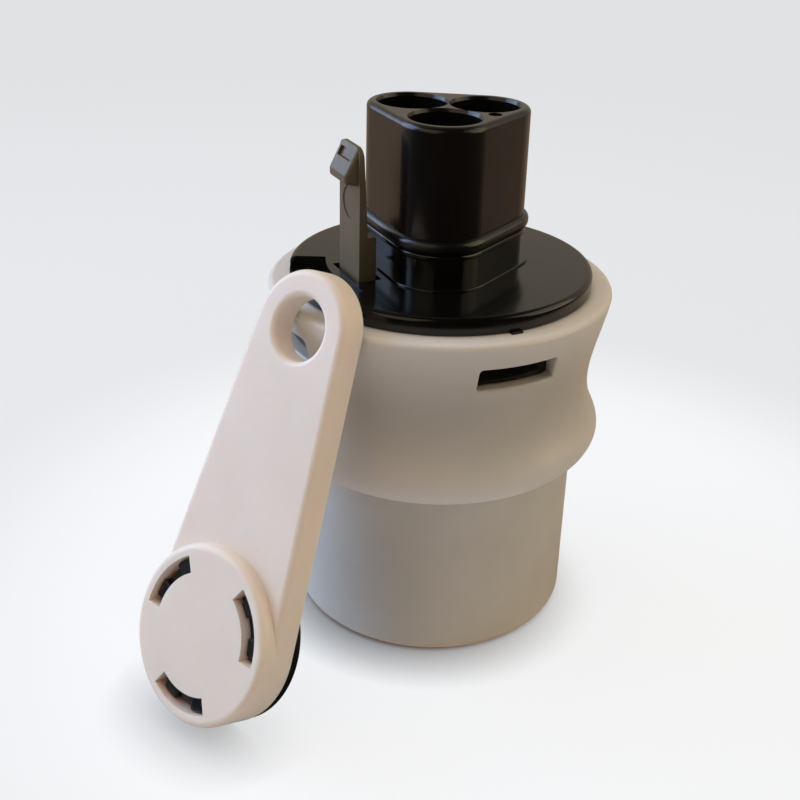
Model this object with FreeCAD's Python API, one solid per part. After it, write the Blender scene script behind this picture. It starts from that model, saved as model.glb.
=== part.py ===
"""Grow light dimmer: a plug-in dimmer standing on its closed end, with its magnet key leaning on the rim.

Millimetres, +Z up, origin at the centre of the cup's flat bottom. The latch is on the -X side of the plug.
"""
import FreeCAD, Part
import math
import os

V = FreeCAD.Vector

# Cup
CUP_R = 21.85
CUP_HEIGHT = 43.1
CUP_WALL = 1.6
CUP_FLOOR = 2.0
CUP_EDGE_ROUND = 1.5
CUP_LIP_PROUD = 0.35
CUP_LIP_HEIGHT = 1.4
CUP_LIP_BELOW_MOUTH = 0.7

# Collar: outer profile from the hem up to the rim, as distance out from the cup and down from the ledge
LEDGE_ABOVE_CUP = 10.4
HEM_OUT = 1.05
HEM_DOWN = 26.2
HEEL_OUT = 2.75
HEEL_DOWN = 24.9
BULGE_OUT = 3.75
BULGE_DOWN = 22.4
SWELL_OUT = 2.6
SWELL_DOWN = 19.2
WAIST_OUT = 1.6
WAIST_DOWN = 13.4
FLARE_OUT = 2.75
FLARE_DOWN = 6.5
RIM_OUT = 4.05
RIM_ROUND = 0.8
COLLAR_GAP = 0.05

# Snap slots in the collar and the arms that click into them
SNAP_COUNT = 4
SLOT_WIDTH = 12.1
SLOT_HEIGHT = 3.5
SLOT_DOWN = 5.75
SLOT_CORNER_R = 0.5
SLOT_EDGE_ROUND = 0.3
SLOT_GAP = 0.3
ARM_GAP = 0.4
ARM_THICKNESS = 1.1
ARM_WIDTH = 9.6
ARM_BELOW_SLOT = 0.3
BARB_PROUD = 0.8
NUB_WIDTH = 1.6
NUB_PROUD = 0.5
NUB_DEPTH = 1.0
NUB_GAP = 0.15
NUB_ROUND = 0.3

# Flange of the connector
FLANGE_SEAT = 0.45
FLANGE_THICKNESS = 2.6
FLANGE_TOP_ROUND = 0.8
FLANGE_UNDER_ROUND = 0.3
NOTCH_DEEP = 5.35
NOTCH_DEPTH = 1.5
NOTCH_HALF_ANGLE = 25.0
SPIGOT_GAP = 0.45
SPIGOT_WALL = 1.6
SPIGOT_IN_CUP = 5.6
STOP_RING_PROUD = 1.4
STOP_RING_HEIGHT = 1.3
SEAL_GROOVE_DEPTH = 0.8
SEAL_GROOVE_HEIGHT = 2.4
SEAL_HEIGHT = 1.6
SEAL_BELOW_MOUTH = 2.8
SEAL_ROUND = 0.5

# Plug: three round corners joined by flats, a plinth under it and a rubber bead between them
PLUG_CORNER_FROM_AXIS = 6.1
PLUG_CORNER_R = 6.65
PLUG_HEIGHT = 17.9
PLUG_TOP_ROUND = 0.85
WELL_R = 5.1
WELL_DEPTH = 17.1
WELL_LEAD = 0.2
WELL_LEAD_DEPTH = 0.5
PLINTH_HEIGHT = 5.2
PLINTH_INSET = 0.2
PLINTH_WALL = 1.3
PLINTH_LIP_PROUD = 0.35
PLINTH_LIP_HEIGHT = 0.9
PLINTH_LIP_ROUND = 0.3
PAD_PROUD = 1.0
PAD_HEIGHT = 0.3
PAD_ROUND = 0.15
SHROUD_GAP = 0.05
BEAD_HEIGHT = 2.1
BEAD_PROUD = 0.75
BEAD_DEPTH = 0.8
BEAD_ROUND = 0.95
CODING_HOLE_R = 1.0
CODING_HOLE_DEPTH = 6.0
CODING_HOLE_FROM_AXIS = 7.5
CODING_HOLE_ANGLE = -55.0

# Contacts and their retainer
CONTACT_R = 1.5
CONTACT_STEP = 0.2
CONTACT_TIP_DOWN = 7.2
CONTACT_TIP_ROUND = 0.7
CONTACT_COLLAR_R = 2.1
CONTACT_COLLAR_DOWN = 3.3
CONTACT_TAIL_R = 0.8
CONTACT_GAP = 0.05
TAIL_BELOW_BOARD = 0.8
RETAINER_THICKNESS = 1.2
RETAINER_REACH = 1.8
RETAINER_PROUD = 0.2
RETAINER_GAP = 0.1

# Latch, with heights above the flange
LATCH_FROM_PLUG = 5.35
LATCH_WIDTH = 7.3
LATCH_FOOT_THICKNESS = 1.3
LATCH_TOP_THICKNESS = 0.6
LATCH_HEIGHT = 19.1
LATCH_IN_FLANGE = 3.1
LATCH_ROUND = 1.2
LATCH_CORNER_R = 1.5
FOOT_BLOCK_THICKNESS = 1.3
FOOT_BLOCK_HEIGHT = 6.3
FOOT_BLOCK_ROUND = 0.4
NOSE_PROUD = 1.95
NOSE_RIDGE_HEIGHT = 15.3
NOSE_TIP_HEIGHT = 14.1
NOSE_ROOT_HEIGHT = 13.6
NOSE_INSET = 0.6
NOSE_ROUND = 0.55
NOSE_POCKET_WIDTH = 4.4
NOSE_POCKET_HEIGHT = 1.3
NOSE_POCKET_DOWN = 0.7
NOSE_POCKET_DEPTH = 0.5
THUMB_MARK_R = 2.4
THUMB_MARK_HEIGHT = 10.6
THUMB_MARK_DEPTH = 0.15
TRUNNION_R = 0.9
TRUNNION_LENGTH = 1.3
TRUNNION_INWARD = 1.5
TRUNNION_DOWN = 1.7
TRUNNION_GAP = 0.05
POCKET_SIDE_GAP = 0.6
POCKET_FRONT_GAP = 0.85
POCKET_BACK_GAP = 0.7
POCKET_UNDER_GAP = 0.7
POCKET_WALL = 1.5
POCKET_FLOOR = 1.0

# Boards and what they carry
BOARD_GAP = 0.2
BOARD_THICKNESS = 1.6
POST_R = 2.2
POST_HEIGHT = 7.6
POST_FROM_SPIGOT = 3.2
SCREW_R = 1.0
SCREW_HEAD_R = 1.9
SCREW_HEAD_HEIGHT = 1.3
SCREW_LENGTH = 7.2
SCREW_DRIVE_R = 0.8
SCREW_DRIVE_DEPTH = 0.7
SCREW_BOARD_GAP = 0.15
SCREW_POST_GAP = 0.02
SENSOR_BOARD_WIDTH = 14.0
SENSOR_BOARD_THICKNESS = 1.0
SENSOR_BOARD_Y = -12.5
SENSOR_BOARD_LENGTH = 22.8
HEADER_PINS = 4
HEADER_PITCH = 2.54
HEADER_SQUARE = 0.64
HEADER_HOLE_R = 0.5
HEADER_FROM_BOARD = 1.5
HEADER_DROP = 2.3
HEADER_STAND = 0.6
SENSOR_SIZE = (4.5, 1.5, 2.5)
SENSOR_DOWN = 19.6
CAPACITOR_R = 5.0
CAPACITOR_LENGTH = 12.5
CAPACITOR_ANGLE = 138.0
CAPACITOR_FROM_EDGE = 1.5
CAPACITOR_GROOVE_DEPTH = 0.35
REGULATOR_SIZE = (6.5, 6.0, 2.3)
REGULATOR_AT = (10.0, 8.5)
CONTROLLER_SIZE = (7.0, 7.0, 1.2)
CONTROLLER_AT = (-11.0, -1.5)
CONTROLLER_DOT_R = 0.4
CERAMIC_SIZE = (3.2, 1.6, 1.4)
CERAMIC_X = 11.5
CERAMIC_PITCH = 2.6
CERAMIC_COUNT = 3
RESISTOR_SIZE = (2.0, 1.25, 0.5)
RESISTOR_COLUMNS = 3
RESISTOR_ROWS = 2
RESISTOR_START = (-1.0, 9.6)
RESISTOR_PITCH = (2.9, 2.4)

# Magnet key, in its own frame: boss axis at 0, ring hole up its length, front face towards +Z
KEY_LENGTH = 44.1
KEY_BOSS_R = 12.4
KEY_RING_R = 8.1
KEY_HOLE_R = 4.45
KEY_HOLE_ROUND = 0.4
KEY_HOLE_FRONT_ROUND = 0.8
KEY_THICKNESS = 3.95
KEY_EDGE_ROUND = 1.0
BOSS_PROUD = 2.05
BOSS_ROUND = 0.95
KEY_SLOT_COUNT = 3
KEY_SLOT_EDGE = 1.6
KEY_SLOT_WIDTH = 2.4
KEY_SLOT_NECK_WIDTH = 2.0
KEY_SLOT_HALF_ANGLE = 28.7
KEY_SLOT_NECK_DEPTH = 3.4
CAP_INSET = 0.1
CAP_THICKNESS = 1.5
CAP_CHAMFER = 0.15
CAP_WALL_HALF_ANGLE = 28.0
CAP_WALL_ABOVE_STEP = 0.9
HOOK_SIDE_ANGLE = 16.5
HOOK_HALF_ANGLE = 8.0
HOOK_GAP = 0.1
HOOK_BELOW_FACE = 1.0
HOOK_CORNER_R = 0.4
HOOK_ROUND = 0.3
MAGNET_EDGE = 1.4
MAGNET_THICKNESS = 3.0
FLUX_PLATE_THICKNESS = 0.8
MAGNET_GAP = 0.1

# Where the key leans
KEY_HEADING = 202.9
KEY_LEAN = 23.35
KEY_TO_RIM_GAP = 0.3

# Worked out from the values above
LEDGE_Z = CUP_HEIGHT + LEDGE_ABOVE_CUP
FLANGE_TOP_Z = LEDGE_Z + FLANGE_THICKNESS
CUP_BORE_R = CUP_R - CUP_WALL
COLLAR_BORE_R = CUP_R + COLLAR_GAP
COLLAR_MOUTH_R = CUP_R + CUP_LIP_PROUD + 2 * COLLAR_GAP
RIM_R = CUP_R + RIM_OUT
LIP_TOP_Z = CUP_HEIGHT - CUP_LIP_BELOW_MOUTH
LIP_BOTTOM_Z = LIP_TOP_Z - CUP_LIP_HEIGHT
SLOT_MID_Z = LEDGE_Z - SLOT_DOWN
SLOT_BOTTOM_Z = SLOT_MID_Z - SLOT_HEIGHT / 2
SLOT_TOP_Z = SLOT_MID_Z + SLOT_HEIGHT / 2
ARM_R = COLLAR_MOUTH_R - ARM_GAP
FLANGE_R = COLLAR_MOUTH_R + FLANGE_SEAT
NUB_R = FLANGE_R + NUB_PROUD
SPIGOT_R = CUP_BORE_R - SPIGOT_GAP
SPIGOT_BOTTOM_Z = CUP_HEIGHT - SPIGOT_IN_CUP
SEAL_Z = CUP_HEIGHT - SEAL_BELOW_MOUTH
BOARD_R = SPIGOT_R - BOARD_GAP
BOARD_TOP_Z = SPIGOT_BOTTOM_Z
BOARD_UNDER_Z = BOARD_TOP_Z - BOARD_THICKNESS
SCREW_FROM_AXIS = SPIGOT_R - POST_FROM_SPIGOT
PLUG_FLAT = PLUG_CORNER_FROM_AXIS / 2 + PLUG_CORNER_R
PLINTH_TOP_Z = FLANGE_TOP_Z + PLINTH_HEIGHT
PLUG_TOP_Z = PLINTH_TOP_Z + PLUG_HEIGHT
WELL_FLOOR_Z = PLUG_TOP_Z - WELL_DEPTH
BEAD_TOP_Z = PLINTH_TOP_Z + BEAD_HEIGHT
OPENING_INSET = PLINTH_INSET + PLINTH_WALL
SHROUD_SPIGOT_INSET = OPENING_INSET + SHROUD_GAP
CONTACT_TIP_Z = PLUG_TOP_Z - CONTACT_TIP_DOWN
CONTACT_SHANK_R = CONTACT_R + CONTACT_STEP
CONTACT_COLLAR_TOP_Z = WELL_FLOOR_Z - CONTACT_COLLAR_DOWN
RETAINER_TOP_Z = LEDGE_Z - RETAINER_REACH
LATCH_OUTER_X = -PLUG_FLAT - LATCH_FROM_PLUG
LATCH_INNER_X = LATCH_OUTER_X + LATCH_FOOT_THICKNESS
LATCH_TOP_Z = FLANGE_TOP_Z + LATCH_HEIGHT
LATCH_BOTTOM_Z = FLANGE_TOP_Z - LATCH_IN_FLANGE
LATCH_PIVOT_X = LATCH_OUTER_X + TRUNNION_INWARD
LATCH_PIVOT_Z = FLANGE_TOP_Z - TRUNNION_DOWN
FOOT_BLOCK_TOP_Z = FLANGE_TOP_Z + FOOT_BLOCK_HEIGHT
SENSOR_FACE_Y = SENSOR_BOARD_Y - SENSOR_BOARD_THICKNESS
HEADER_Y = SENSOR_BOARD_Y + HEADER_FROM_BOARD
HEADER_Z = BOARD_UNDER_Z - HEADER_DROP
KEY_SLOT_OUTER_R = KEY_BOSS_R - KEY_SLOT_EDGE
KEY_SLOT_INNER_R = KEY_SLOT_OUTER_R - KEY_SLOT_WIDTH
KEY_SLOT_NECK_R = KEY_SLOT_INNER_R + KEY_SLOT_NECK_WIDTH
KEY_FACE_Z = KEY_THICKNESS + BOSS_PROUD
CAP_R = KEY_BOSS_R - CAP_INSET
MAGNET_R = KEY_SLOT_INNER_R - MAGNET_EDGE
SNAP_ANGLES = [360.0 / SNAP_COUNT * step for step in range(SNAP_COUNT)]
CORNER_ANGLES = [0.0, 120.0, 240.0]
SCREW_ANGLES = [90.0, 210.0, 330.0]
SLIGHT = 1.0


def polar(radius, angle, z=0.0):
    """Point at a radius and an angle in degrees."""
    turn = math.radians(angle)
    return V(radius * math.cos(turn), radius * math.sin(turn), z)


def disc(radius, low, high, at=(0.0, 0.0)):
    """Upright cylinder between two heights."""
    return Part.makeCylinder(radius, high - low, V(at[0], at[1], low))


def ring(outer, inner, low, high):
    """Upright tube between two heights."""
    return disc(outer, low, high).cut(disc(inner, low - SLIGHT, high + SLIGHT))


def block(x_range, y_range, z_range):
    """Box between three pairs of limits."""
    size = [pair[1] - pair[0] for pair in (x_range, y_range, z_range)]
    return Part.makeBox(size[0], size[1], size[2], V(x_range[0], y_range[0], z_range[0]))


def centred_block(size, at, low):
    """Box of a size, centred at a point in plan, standing on a height."""
    half_x = size[0] / 2
    half_y = size[1] / 2
    return block((at[0] - half_x, at[0] + half_x), (at[1] - half_y, at[1] + half_y), (low, low + size[2]))


def extrude(points, vector):
    """Prism on a closed outline of points."""
    wire = Part.makePolygon(points + [points[0]])
    return Part.Face(wire).extrude(vector)


def turned(shape, angle):
    """Copy of a shape turned about the Z axis."""
    copy = shape.copy()
    copy.rotate(V(0, 0, 0), V(0, 0, 1), angle)
    return copy


def sector(inner, outer, middle, half_angle, low, high):
    """Piece of a tube between two radii, spread on both sides of an angle."""
    start = middle - half_angle
    end = middle + half_angle
    outside = Part.Arc(polar(outer, start, low), polar(outer, middle, low), polar(outer, end, low)).toShape()
    inside = Part.Arc(polar(inner, end, low), polar(inner, middle, low), polar(inner, start, low)).toShape()
    side_a = Part.LineSegment(polar(outer, end, low), polar(inner, end, low)).toShape()
    side_b = Part.LineSegment(polar(inner, start, low), polar(outer, start, low)).toShape()
    return Part.Face(Part.Wire([outside, side_a, inside, side_b])).extrude(V(0, 0, high - low))


def level_edges(shape, height, least_radius=0.0, most_radius=1000.0):
    """Edges that lie at one height, with their middle between two distances from the axis."""
    found = []
    for edge in shape.Edges:
        box = edge.BoundBox
        if abs(box.ZMin - height) > 1e-4 or abs(box.ZMax - height) > 1e-4:
            continue
        middle = edge.valueAt((edge.FirstParameter + edge.LastParameter) / 2)
        if least_radius <= math.hypot(middle.x, middle.y) <= most_radius:
            found.append(edge)
    return found


def plug_outline(inset, z):
    """Rounded triangle wire: three arcs on the plug's corners, joined by the flats."""
    radius = PLUG_CORNER_R - inset
    edges = []
    ends = []
    for angle in CORNER_ANGLES:
        centre = polar(PLUG_CORNER_FROM_AXIS, angle, z)
        points = [centre + polar(radius, angle + side * 60.0) for side in (-1, 0, 1)]
        edges.append(Part.Arc(points[0], points[1], points[2]).toShape())
        ends.append((points[0], points[2]))
    joined = []
    for index, edge in enumerate(edges):
        following = ends[(index + 1) % len(ends)][0]
        joined += [edge, Part.LineSegment(ends[index][1], following).toShape()]
    return Part.Wire(joined)


def plug_prism(inset, low, high):
    """Upright prism on the rounded triangle, moved in from the plug's outline."""
    return Part.Face(plug_outline(inset, low)).extrude(V(0, 0, high - low))


def union(shapes):
    """One solid of several that overlap."""
    return shapes[0].multiFuse(shapes[1:]).removeSplitter()


def base_cup():
    """Closed cup with a rounded bottom edge and a snap lip under its mouth."""
    body = disc(CUP_R, 0.0, CUP_HEIGHT)
    body = body.makeFillet(CUP_EDGE_ROUND, level_edges(body, 0.0))
    lip = disc(CUP_R + CUP_LIP_PROUD, LIP_BOTTOM_Z, LIP_TOP_Z)
    body = union([body, lip])
    inside = disc(CUP_BORE_R, CUP_FLOOR, CUP_HEIGHT + SLIGHT)
    inside = inside.makeFillet(CUP_EDGE_ROUND, level_edges(inside, CUP_FLOOR))
    return body.cut(inside)


def collar_blank():
    """Waisted sleeve turned from its section: outer curve, rounded rim, ledge, stepped bore."""
    curve_top = V(RIM_R, 0, LEDGE_Z - RIM_ROUND)
    profile = [(HEM_OUT, HEM_DOWN), (HEEL_OUT, HEEL_DOWN), (BULGE_OUT, BULGE_DOWN), (SWELL_OUT, SWELL_DOWN),
               (WAIST_OUT, WAIST_DOWN), (FLARE_OUT, FLARE_DOWN)]
    stations = [V(CUP_R + out, 0, LEDGE_Z - down) for out, down in profile]
    outside = Part.BSplineCurve()
    outside.interpolate(stations + [curve_top])
    ledge_edge = V(RIM_R - RIM_ROUND, 0, LEDGE_Z)
    crest = V(RIM_R - RIM_ROUND, 0, LEDGE_Z - RIM_ROUND) + V(1, 0, 1).normalize() * RIM_ROUND
    rounding = Part.Arc(curve_top, crest, ledge_edge)
    hem_z = LEDGE_Z - HEM_DOWN
    step_z = LIP_BOTTOM_Z - COLLAR_GAP
    inner = [ledge_edge, V(COLLAR_MOUTH_R, 0, LEDGE_Z), V(COLLAR_MOUTH_R, 0, step_z), V(COLLAR_BORE_R, 0, step_z),
             V(COLLAR_BORE_R, 0, hem_z), stations[0]]
    edges = [outside.toShape(), rounding.toShape()]
    edges += [Part.LineSegment(start, end).toShape() for start, end in zip(inner, inner[1:])]
    return Part.Face(Part.Wire(edges)).revolve(V(0, 0, 0), V(0, 0, 1), 360)


def slot_mouth_edges(shape):
    """Edges of the snap slots on the collar's outer face."""
    found = []
    for edge in shape.Edges:
        box = edge.BoundBox
        within = box.ZMin > SLOT_BOTTOM_Z - 1e-3 and box.ZMax < SLOT_TOP_Z + 1e-3
        reach = min(math.hypot(vertex.X, vertex.Y) for vertex in edge.Vertexes)
        if within and reach > COLLAR_MOUTH_R + SLOT_EDGE_ROUND:
            found.append(edge)
    return found


def grip_collar():
    """Collar with a snap slot on each side and a keying notch in the ledge above each slot."""
    half = SLOT_WIDTH / 2
    slot = block((COLLAR_BORE_R - SLIGHT, RIM_R + SLIGHT), (-half, half), (SLOT_BOTTOM_Z, SLOT_TOP_Z))
    radial = [e for e in slot.Edges if e.BoundBox.XLength > half / 2]
    slot = slot.makeFillet(SLOT_CORNER_R, radial)
    notch_half = NUB_WIDTH / 2 + NUB_GAP
    notch_bottom = LEDGE_Z - NUB_DEPTH - NUB_GAP
    notch = block((COLLAR_MOUTH_R - SLIGHT, NUB_R + NUB_GAP), (-notch_half, notch_half),
                  (notch_bottom, LEDGE_Z + SLIGHT))
    cutters = [turned(cutter, angle) for angle in SNAP_ANGLES for cutter in (slot, notch)]
    body = collar_blank().cut(Part.makeCompound(cutters))
    return body.makeFillet(SLOT_EDGE_ROUND, slot_mouth_edges(body))


def snap_arm():
    """One snap arm on the +X side: a curved tongue under the flange with a barb and a keying nub."""
    low = SLOT_BOTTOM_Z - ARM_BELOW_SLOT
    tongue = ring(ARM_R, ARM_R - ARM_THICKNESS, low, LEDGE_Z + SLIGHT)
    half = ARM_WIDTH / 2
    tongue = tongue.common(block((0, RIM_R), (-half, half), (low, LEDGE_Z + SLIGHT)))
    barb_half = SLOT_WIDTH / 2 - SLOT_GAP
    barb = ring(ARM_R + BARB_PROUD, ARM_R - ARM_THICKNESS, SLOT_BOTTOM_Z + SLOT_GAP, SLOT_TOP_Z - SLOT_GAP)
    barb = barb.common(block((0, RIM_R), (-barb_half, barb_half), (SLOT_BOTTOM_Z, SLOT_TOP_Z)))
    nub_half = NUB_WIDTH / 2
    nub = block((ARM_R - ARM_THICKNESS / 2, NUB_R), (-nub_half, nub_half),
                (LEDGE_Z - NUB_DEPTH, LEDGE_Z + FLANGE_UNDER_ROUND))
    nub = nub.makeFillet(NUB_ROUND, level_edges(nub, LEDGE_Z - NUB_DEPTH))
    return [tongue, barb, nub]


def latch_pocket():
    """Blind pocket in which the latch stands, open at the flange's top."""
    half = LATCH_WIDTH / 2 + POCKET_SIDE_GAP
    front = LATCH_OUTER_X - POCKET_FRONT_GAP
    back = LATCH_INNER_X + FOOT_BLOCK_THICKNESS + POCKET_BACK_GAP
    return (front, back), (-half, half), LATCH_BOTTOM_Z - POCKET_UNDER_GAP


def connector_flange():
    """Black disc with plinth, pad, latch pocket, snap arms, keying nubs and the sealing spigot."""
    plate = disc(FLANGE_R, LEDGE_Z, FLANGE_TOP_Z)
    plate = plate.makeFillet(FLANGE_TOP_ROUND, level_edges(plate, FLANGE_TOP_Z))
    plate = plate.makeFillet(FLANGE_UNDER_ROUND, level_edges(plate, LEDGE_Z))
    notch = sector(FLANGE_R - NOTCH_DEEP, FLANGE_R + SLIGHT, 180.0, NOTCH_HALF_ANGLE,
                   FLANGE_TOP_Z - NOTCH_DEPTH, FLANGE_TOP_Z + SLIGHT)
    plate = plate.cut(notch)
    pad = plug_prism(-PAD_PROUD, FLANGE_TOP_Z - SLIGHT, FLANGE_TOP_Z + PAD_HEIGHT)
    pad = pad.makeFillet(PAD_ROUND, level_edges(pad, FLANGE_TOP_Z + PAD_HEIGHT))
    plinth = plug_prism(PLINTH_INSET, LEDGE_Z, PLINTH_TOP_Z)
    lip_low = PLINTH_TOP_Z - PLINTH_LIP_HEIGHT
    lip = plug_prism(-PLINTH_LIP_PROUD, lip_low, PLINTH_TOP_Z)
    lip = lip.makeFillet(PLINTH_LIP_ROUND, level_edges(lip, lip_low) + level_edges(lip, PLINTH_TOP_Z))
    spigot = ring(SPIGOT_R, SPIGOT_R - SPIGOT_WALL, SPIGOT_BOTTOM_Z, LEDGE_Z + SLIGHT)
    groove = ring(SPIGOT_R + SLIGHT, SPIGOT_R - SEAL_GROOVE_DEPTH,
                  SEAL_Z - SEAL_GROOVE_HEIGHT / 2, SEAL_Z + SEAL_GROOVE_HEIGHT / 2)
    stop = ring(SPIGOT_R + STOP_RING_PROUD, SPIGOT_R - SPIGOT_WALL / 2, CUP_HEIGHT, CUP_HEIGHT + STOP_RING_HEIGHT)
    pocket_x, pocket_y, pocket_floor = latch_pocket()
    housing = block((pocket_x[0] - POCKET_WALL, pocket_x[1] + POCKET_WALL / 2),
                    (pocket_y[0] - POCKET_WALL, pocket_y[1] + POCKET_WALL),
                    (pocket_floor - POCKET_FLOOR, LEDGE_Z + SLIGHT))
    posts = [disc(POST_R, SPIGOT_BOTTOM_Z, SPIGOT_BOTTOM_Z + POST_HEIGHT,
                  tuple(polar(SCREW_FROM_AXIS, angle))[:2]) for angle in SCREW_ANGLES]
    arms = [turned(piece, angle) for angle in SNAP_ANGLES for piece in snap_arm()]
    body = union([plate, pad, plinth, lip, spigot.cut(groove), stop, housing] + posts + arms)
    pocket = block(pocket_x, pocket_y, (pocket_floor, PLINTH_TOP_Z + SLIGHT))
    bore_reach = LATCH_WIDTH / 2 + TRUNNION_LENGTH + POCKET_SIDE_GAP / 2
    trunnion_bore = Part.makeCylinder(TRUNNION_R + TRUNNION_GAP, 2 * bore_reach,
                                      V(LATCH_PIVOT_X, -bore_reach, LATCH_PIVOT_Z), V(0, 1, 0))
    opening = plug_prism(OPENING_INSET, LEDGE_Z - SLIGHT, PLINTH_TOP_Z + SLIGHT)
    post_holes = [disc(SCREW_R + SCREW_POST_GAP, SPIGOT_BOTTOM_Z - SLIGHT,
                       SPIGOT_BOTTOM_Z + POST_HEIGHT - SLIGHT,
                       tuple(polar(SCREW_FROM_AXIS, angle))[:2]) for angle in SCREW_ANGLES]
    return body.cut(Part.makeCompound([pocket, trunnion_bore, opening] + post_holes))


def plug_shroud():
    """Three-pole plug: wells at the corners, a coding hole in a web, a bead groove and a foot."""
    body = plug_prism(0.0, PLINTH_TOP_Z, PLUG_TOP_Z)
    body = body.makeFillet(PLUG_TOP_ROUND, level_edges(body, PLUG_TOP_Z))
    foot = plug_prism(SHROUD_SPIGOT_INSET, RETAINER_TOP_Z, PLINTH_TOP_Z + SLIGHT)
    body = union([body, foot])
    groove = plug_prism(-SLIGHT, PLINTH_TOP_Z, BEAD_TOP_Z).cut(plug_prism(BEAD_DEPTH, PLINTH_TOP_Z, BEAD_TOP_Z))
    hole_at = tuple(polar(CODING_HOLE_FROM_AXIS, CODING_HOLE_ANGLE))[:2]
    cutters = [groove, disc(CODING_HOLE_R, PLUG_TOP_Z - CODING_HOLE_DEPTH, PLUG_TOP_Z + SLIGHT, hole_at)]
    for angle in CORNER_ANGLES:
        at = tuple(polar(PLUG_CORNER_FROM_AXIS, angle))[:2]
        cutters.append(disc(WELL_R, WELL_FLOOR_Z, PLUG_TOP_Z + SLIGHT, at))
        cutters.append(Part.makeCone(WELL_R, WELL_R + WELL_LEAD, WELL_LEAD_DEPTH,
                                     V(at[0], at[1], PLUG_TOP_Z - WELL_LEAD_DEPTH)))
        cutters.append(disc(CONTACT_SHANK_R + CONTACT_GAP, RETAINER_TOP_Z, WELL_FLOOR_Z + SLIGHT, at))
        cutters.append(disc(CONTACT_COLLAR_R + CONTACT_GAP, RETAINER_TOP_Z - SLIGHT,
                            CONTACT_COLLAR_TOP_Z + CONTACT_GAP, at))
    return body.cut(Part.makeCompound(cutters))


def plug_seal():
    """Rubber bead in the groove round the plug's foot, rounded on its outer side."""
    solid = plug_prism(-BEAD_PROUD, PLINTH_TOP_Z, BEAD_TOP_Z)
    solid = solid.makeFillet(BEAD_ROUND, level_edges(solid, PLINTH_TOP_Z) + level_edges(solid, BEAD_TOP_Z))
    return solid.cut(plug_prism(BEAD_DEPTH - SHROUD_GAP, PLINTH_TOP_Z - SLIGHT, BEAD_TOP_Z + SLIGHT))


def contact_pin(angle):
    """Contact with a rounded tip, a shank in the shroud, a collar on the retainer and a tail to the board."""
    at = tuple(polar(PLUG_CORNER_FROM_AXIS, angle))[:2]
    pin = disc(CONTACT_R, WELL_FLOOR_Z - SLIGHT, CONTACT_TIP_Z, at)
    pin = pin.makeFillet(CONTACT_TIP_ROUND, level_edges(pin, CONTACT_TIP_Z))
    shank = disc(CONTACT_SHANK_R, CONTACT_COLLAR_TOP_Z - SLIGHT, WELL_FLOOR_Z, at)
    collar = disc(CONTACT_COLLAR_R, RETAINER_TOP_Z, CONTACT_COLLAR_TOP_Z, at)
    tail = disc(CONTACT_TAIL_R, BOARD_UNDER_Z - TAIL_BELOW_BOARD, RETAINER_TOP_Z + SLIGHT, at)
    return union([pin, shank, collar, tail])


def pin_retainer():
    """Plate under the shroud that keeps the contacts in, with a rim that seats on the flange."""
    bottom = RETAINER_TOP_Z - RETAINER_THICKNESS
    plate = plug_prism(-RETAINER_PROUD, bottom, LEDGE_Z)
    plate = plate.cut(plug_prism(SHROUD_SPIGOT_INSET - RETAINER_GAP, RETAINER_TOP_Z, LEDGE_Z + SLIGHT))
    holes = [disc(CONTACT_TAIL_R + CONTACT_GAP, bottom - SLIGHT, LEDGE_Z,
                  tuple(polar(PLUG_CORNER_FROM_AXIS, angle))[:2]) for angle in CORNER_ANGLES]
    return plate.cut(Part.makeCompound(holes))


def cup_seal():
    """Seal ring pressed between the spigot's groove and the cup's bore."""
    low = SEAL_Z - SEAL_HEIGHT / 2
    high = SEAL_Z + SEAL_HEIGHT / 2
    body = ring(CUP_BORE_R, SPIGOT_R - SEAL_GROOVE_DEPTH, low, high)
    return body.makeFillet(SEAL_ROUND, level_edges(body, low) + level_edges(body, high))


def cross_edges(shape, width):
    """Edges that run the whole width of the latch, along Y."""
    return [edge for edge in shape.Edges if abs(edge.BoundBox.YLength - width) < 1e-4
            and edge.BoundBox.XLength < 1e-4 and edge.BoundBox.ZLength < 1e-4]


def latch_section(points):
    """Prism across the latch on points given as distance in from the outer face and height over the flange."""
    half = LATCH_WIDTH / 2
    outline = [V(LATCH_OUTER_X + inward, -half, FLANGE_TOP_Z + height) for inward, height in points]
    return extrude(outline, V(0, LATCH_WIDTH, 0))


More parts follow.
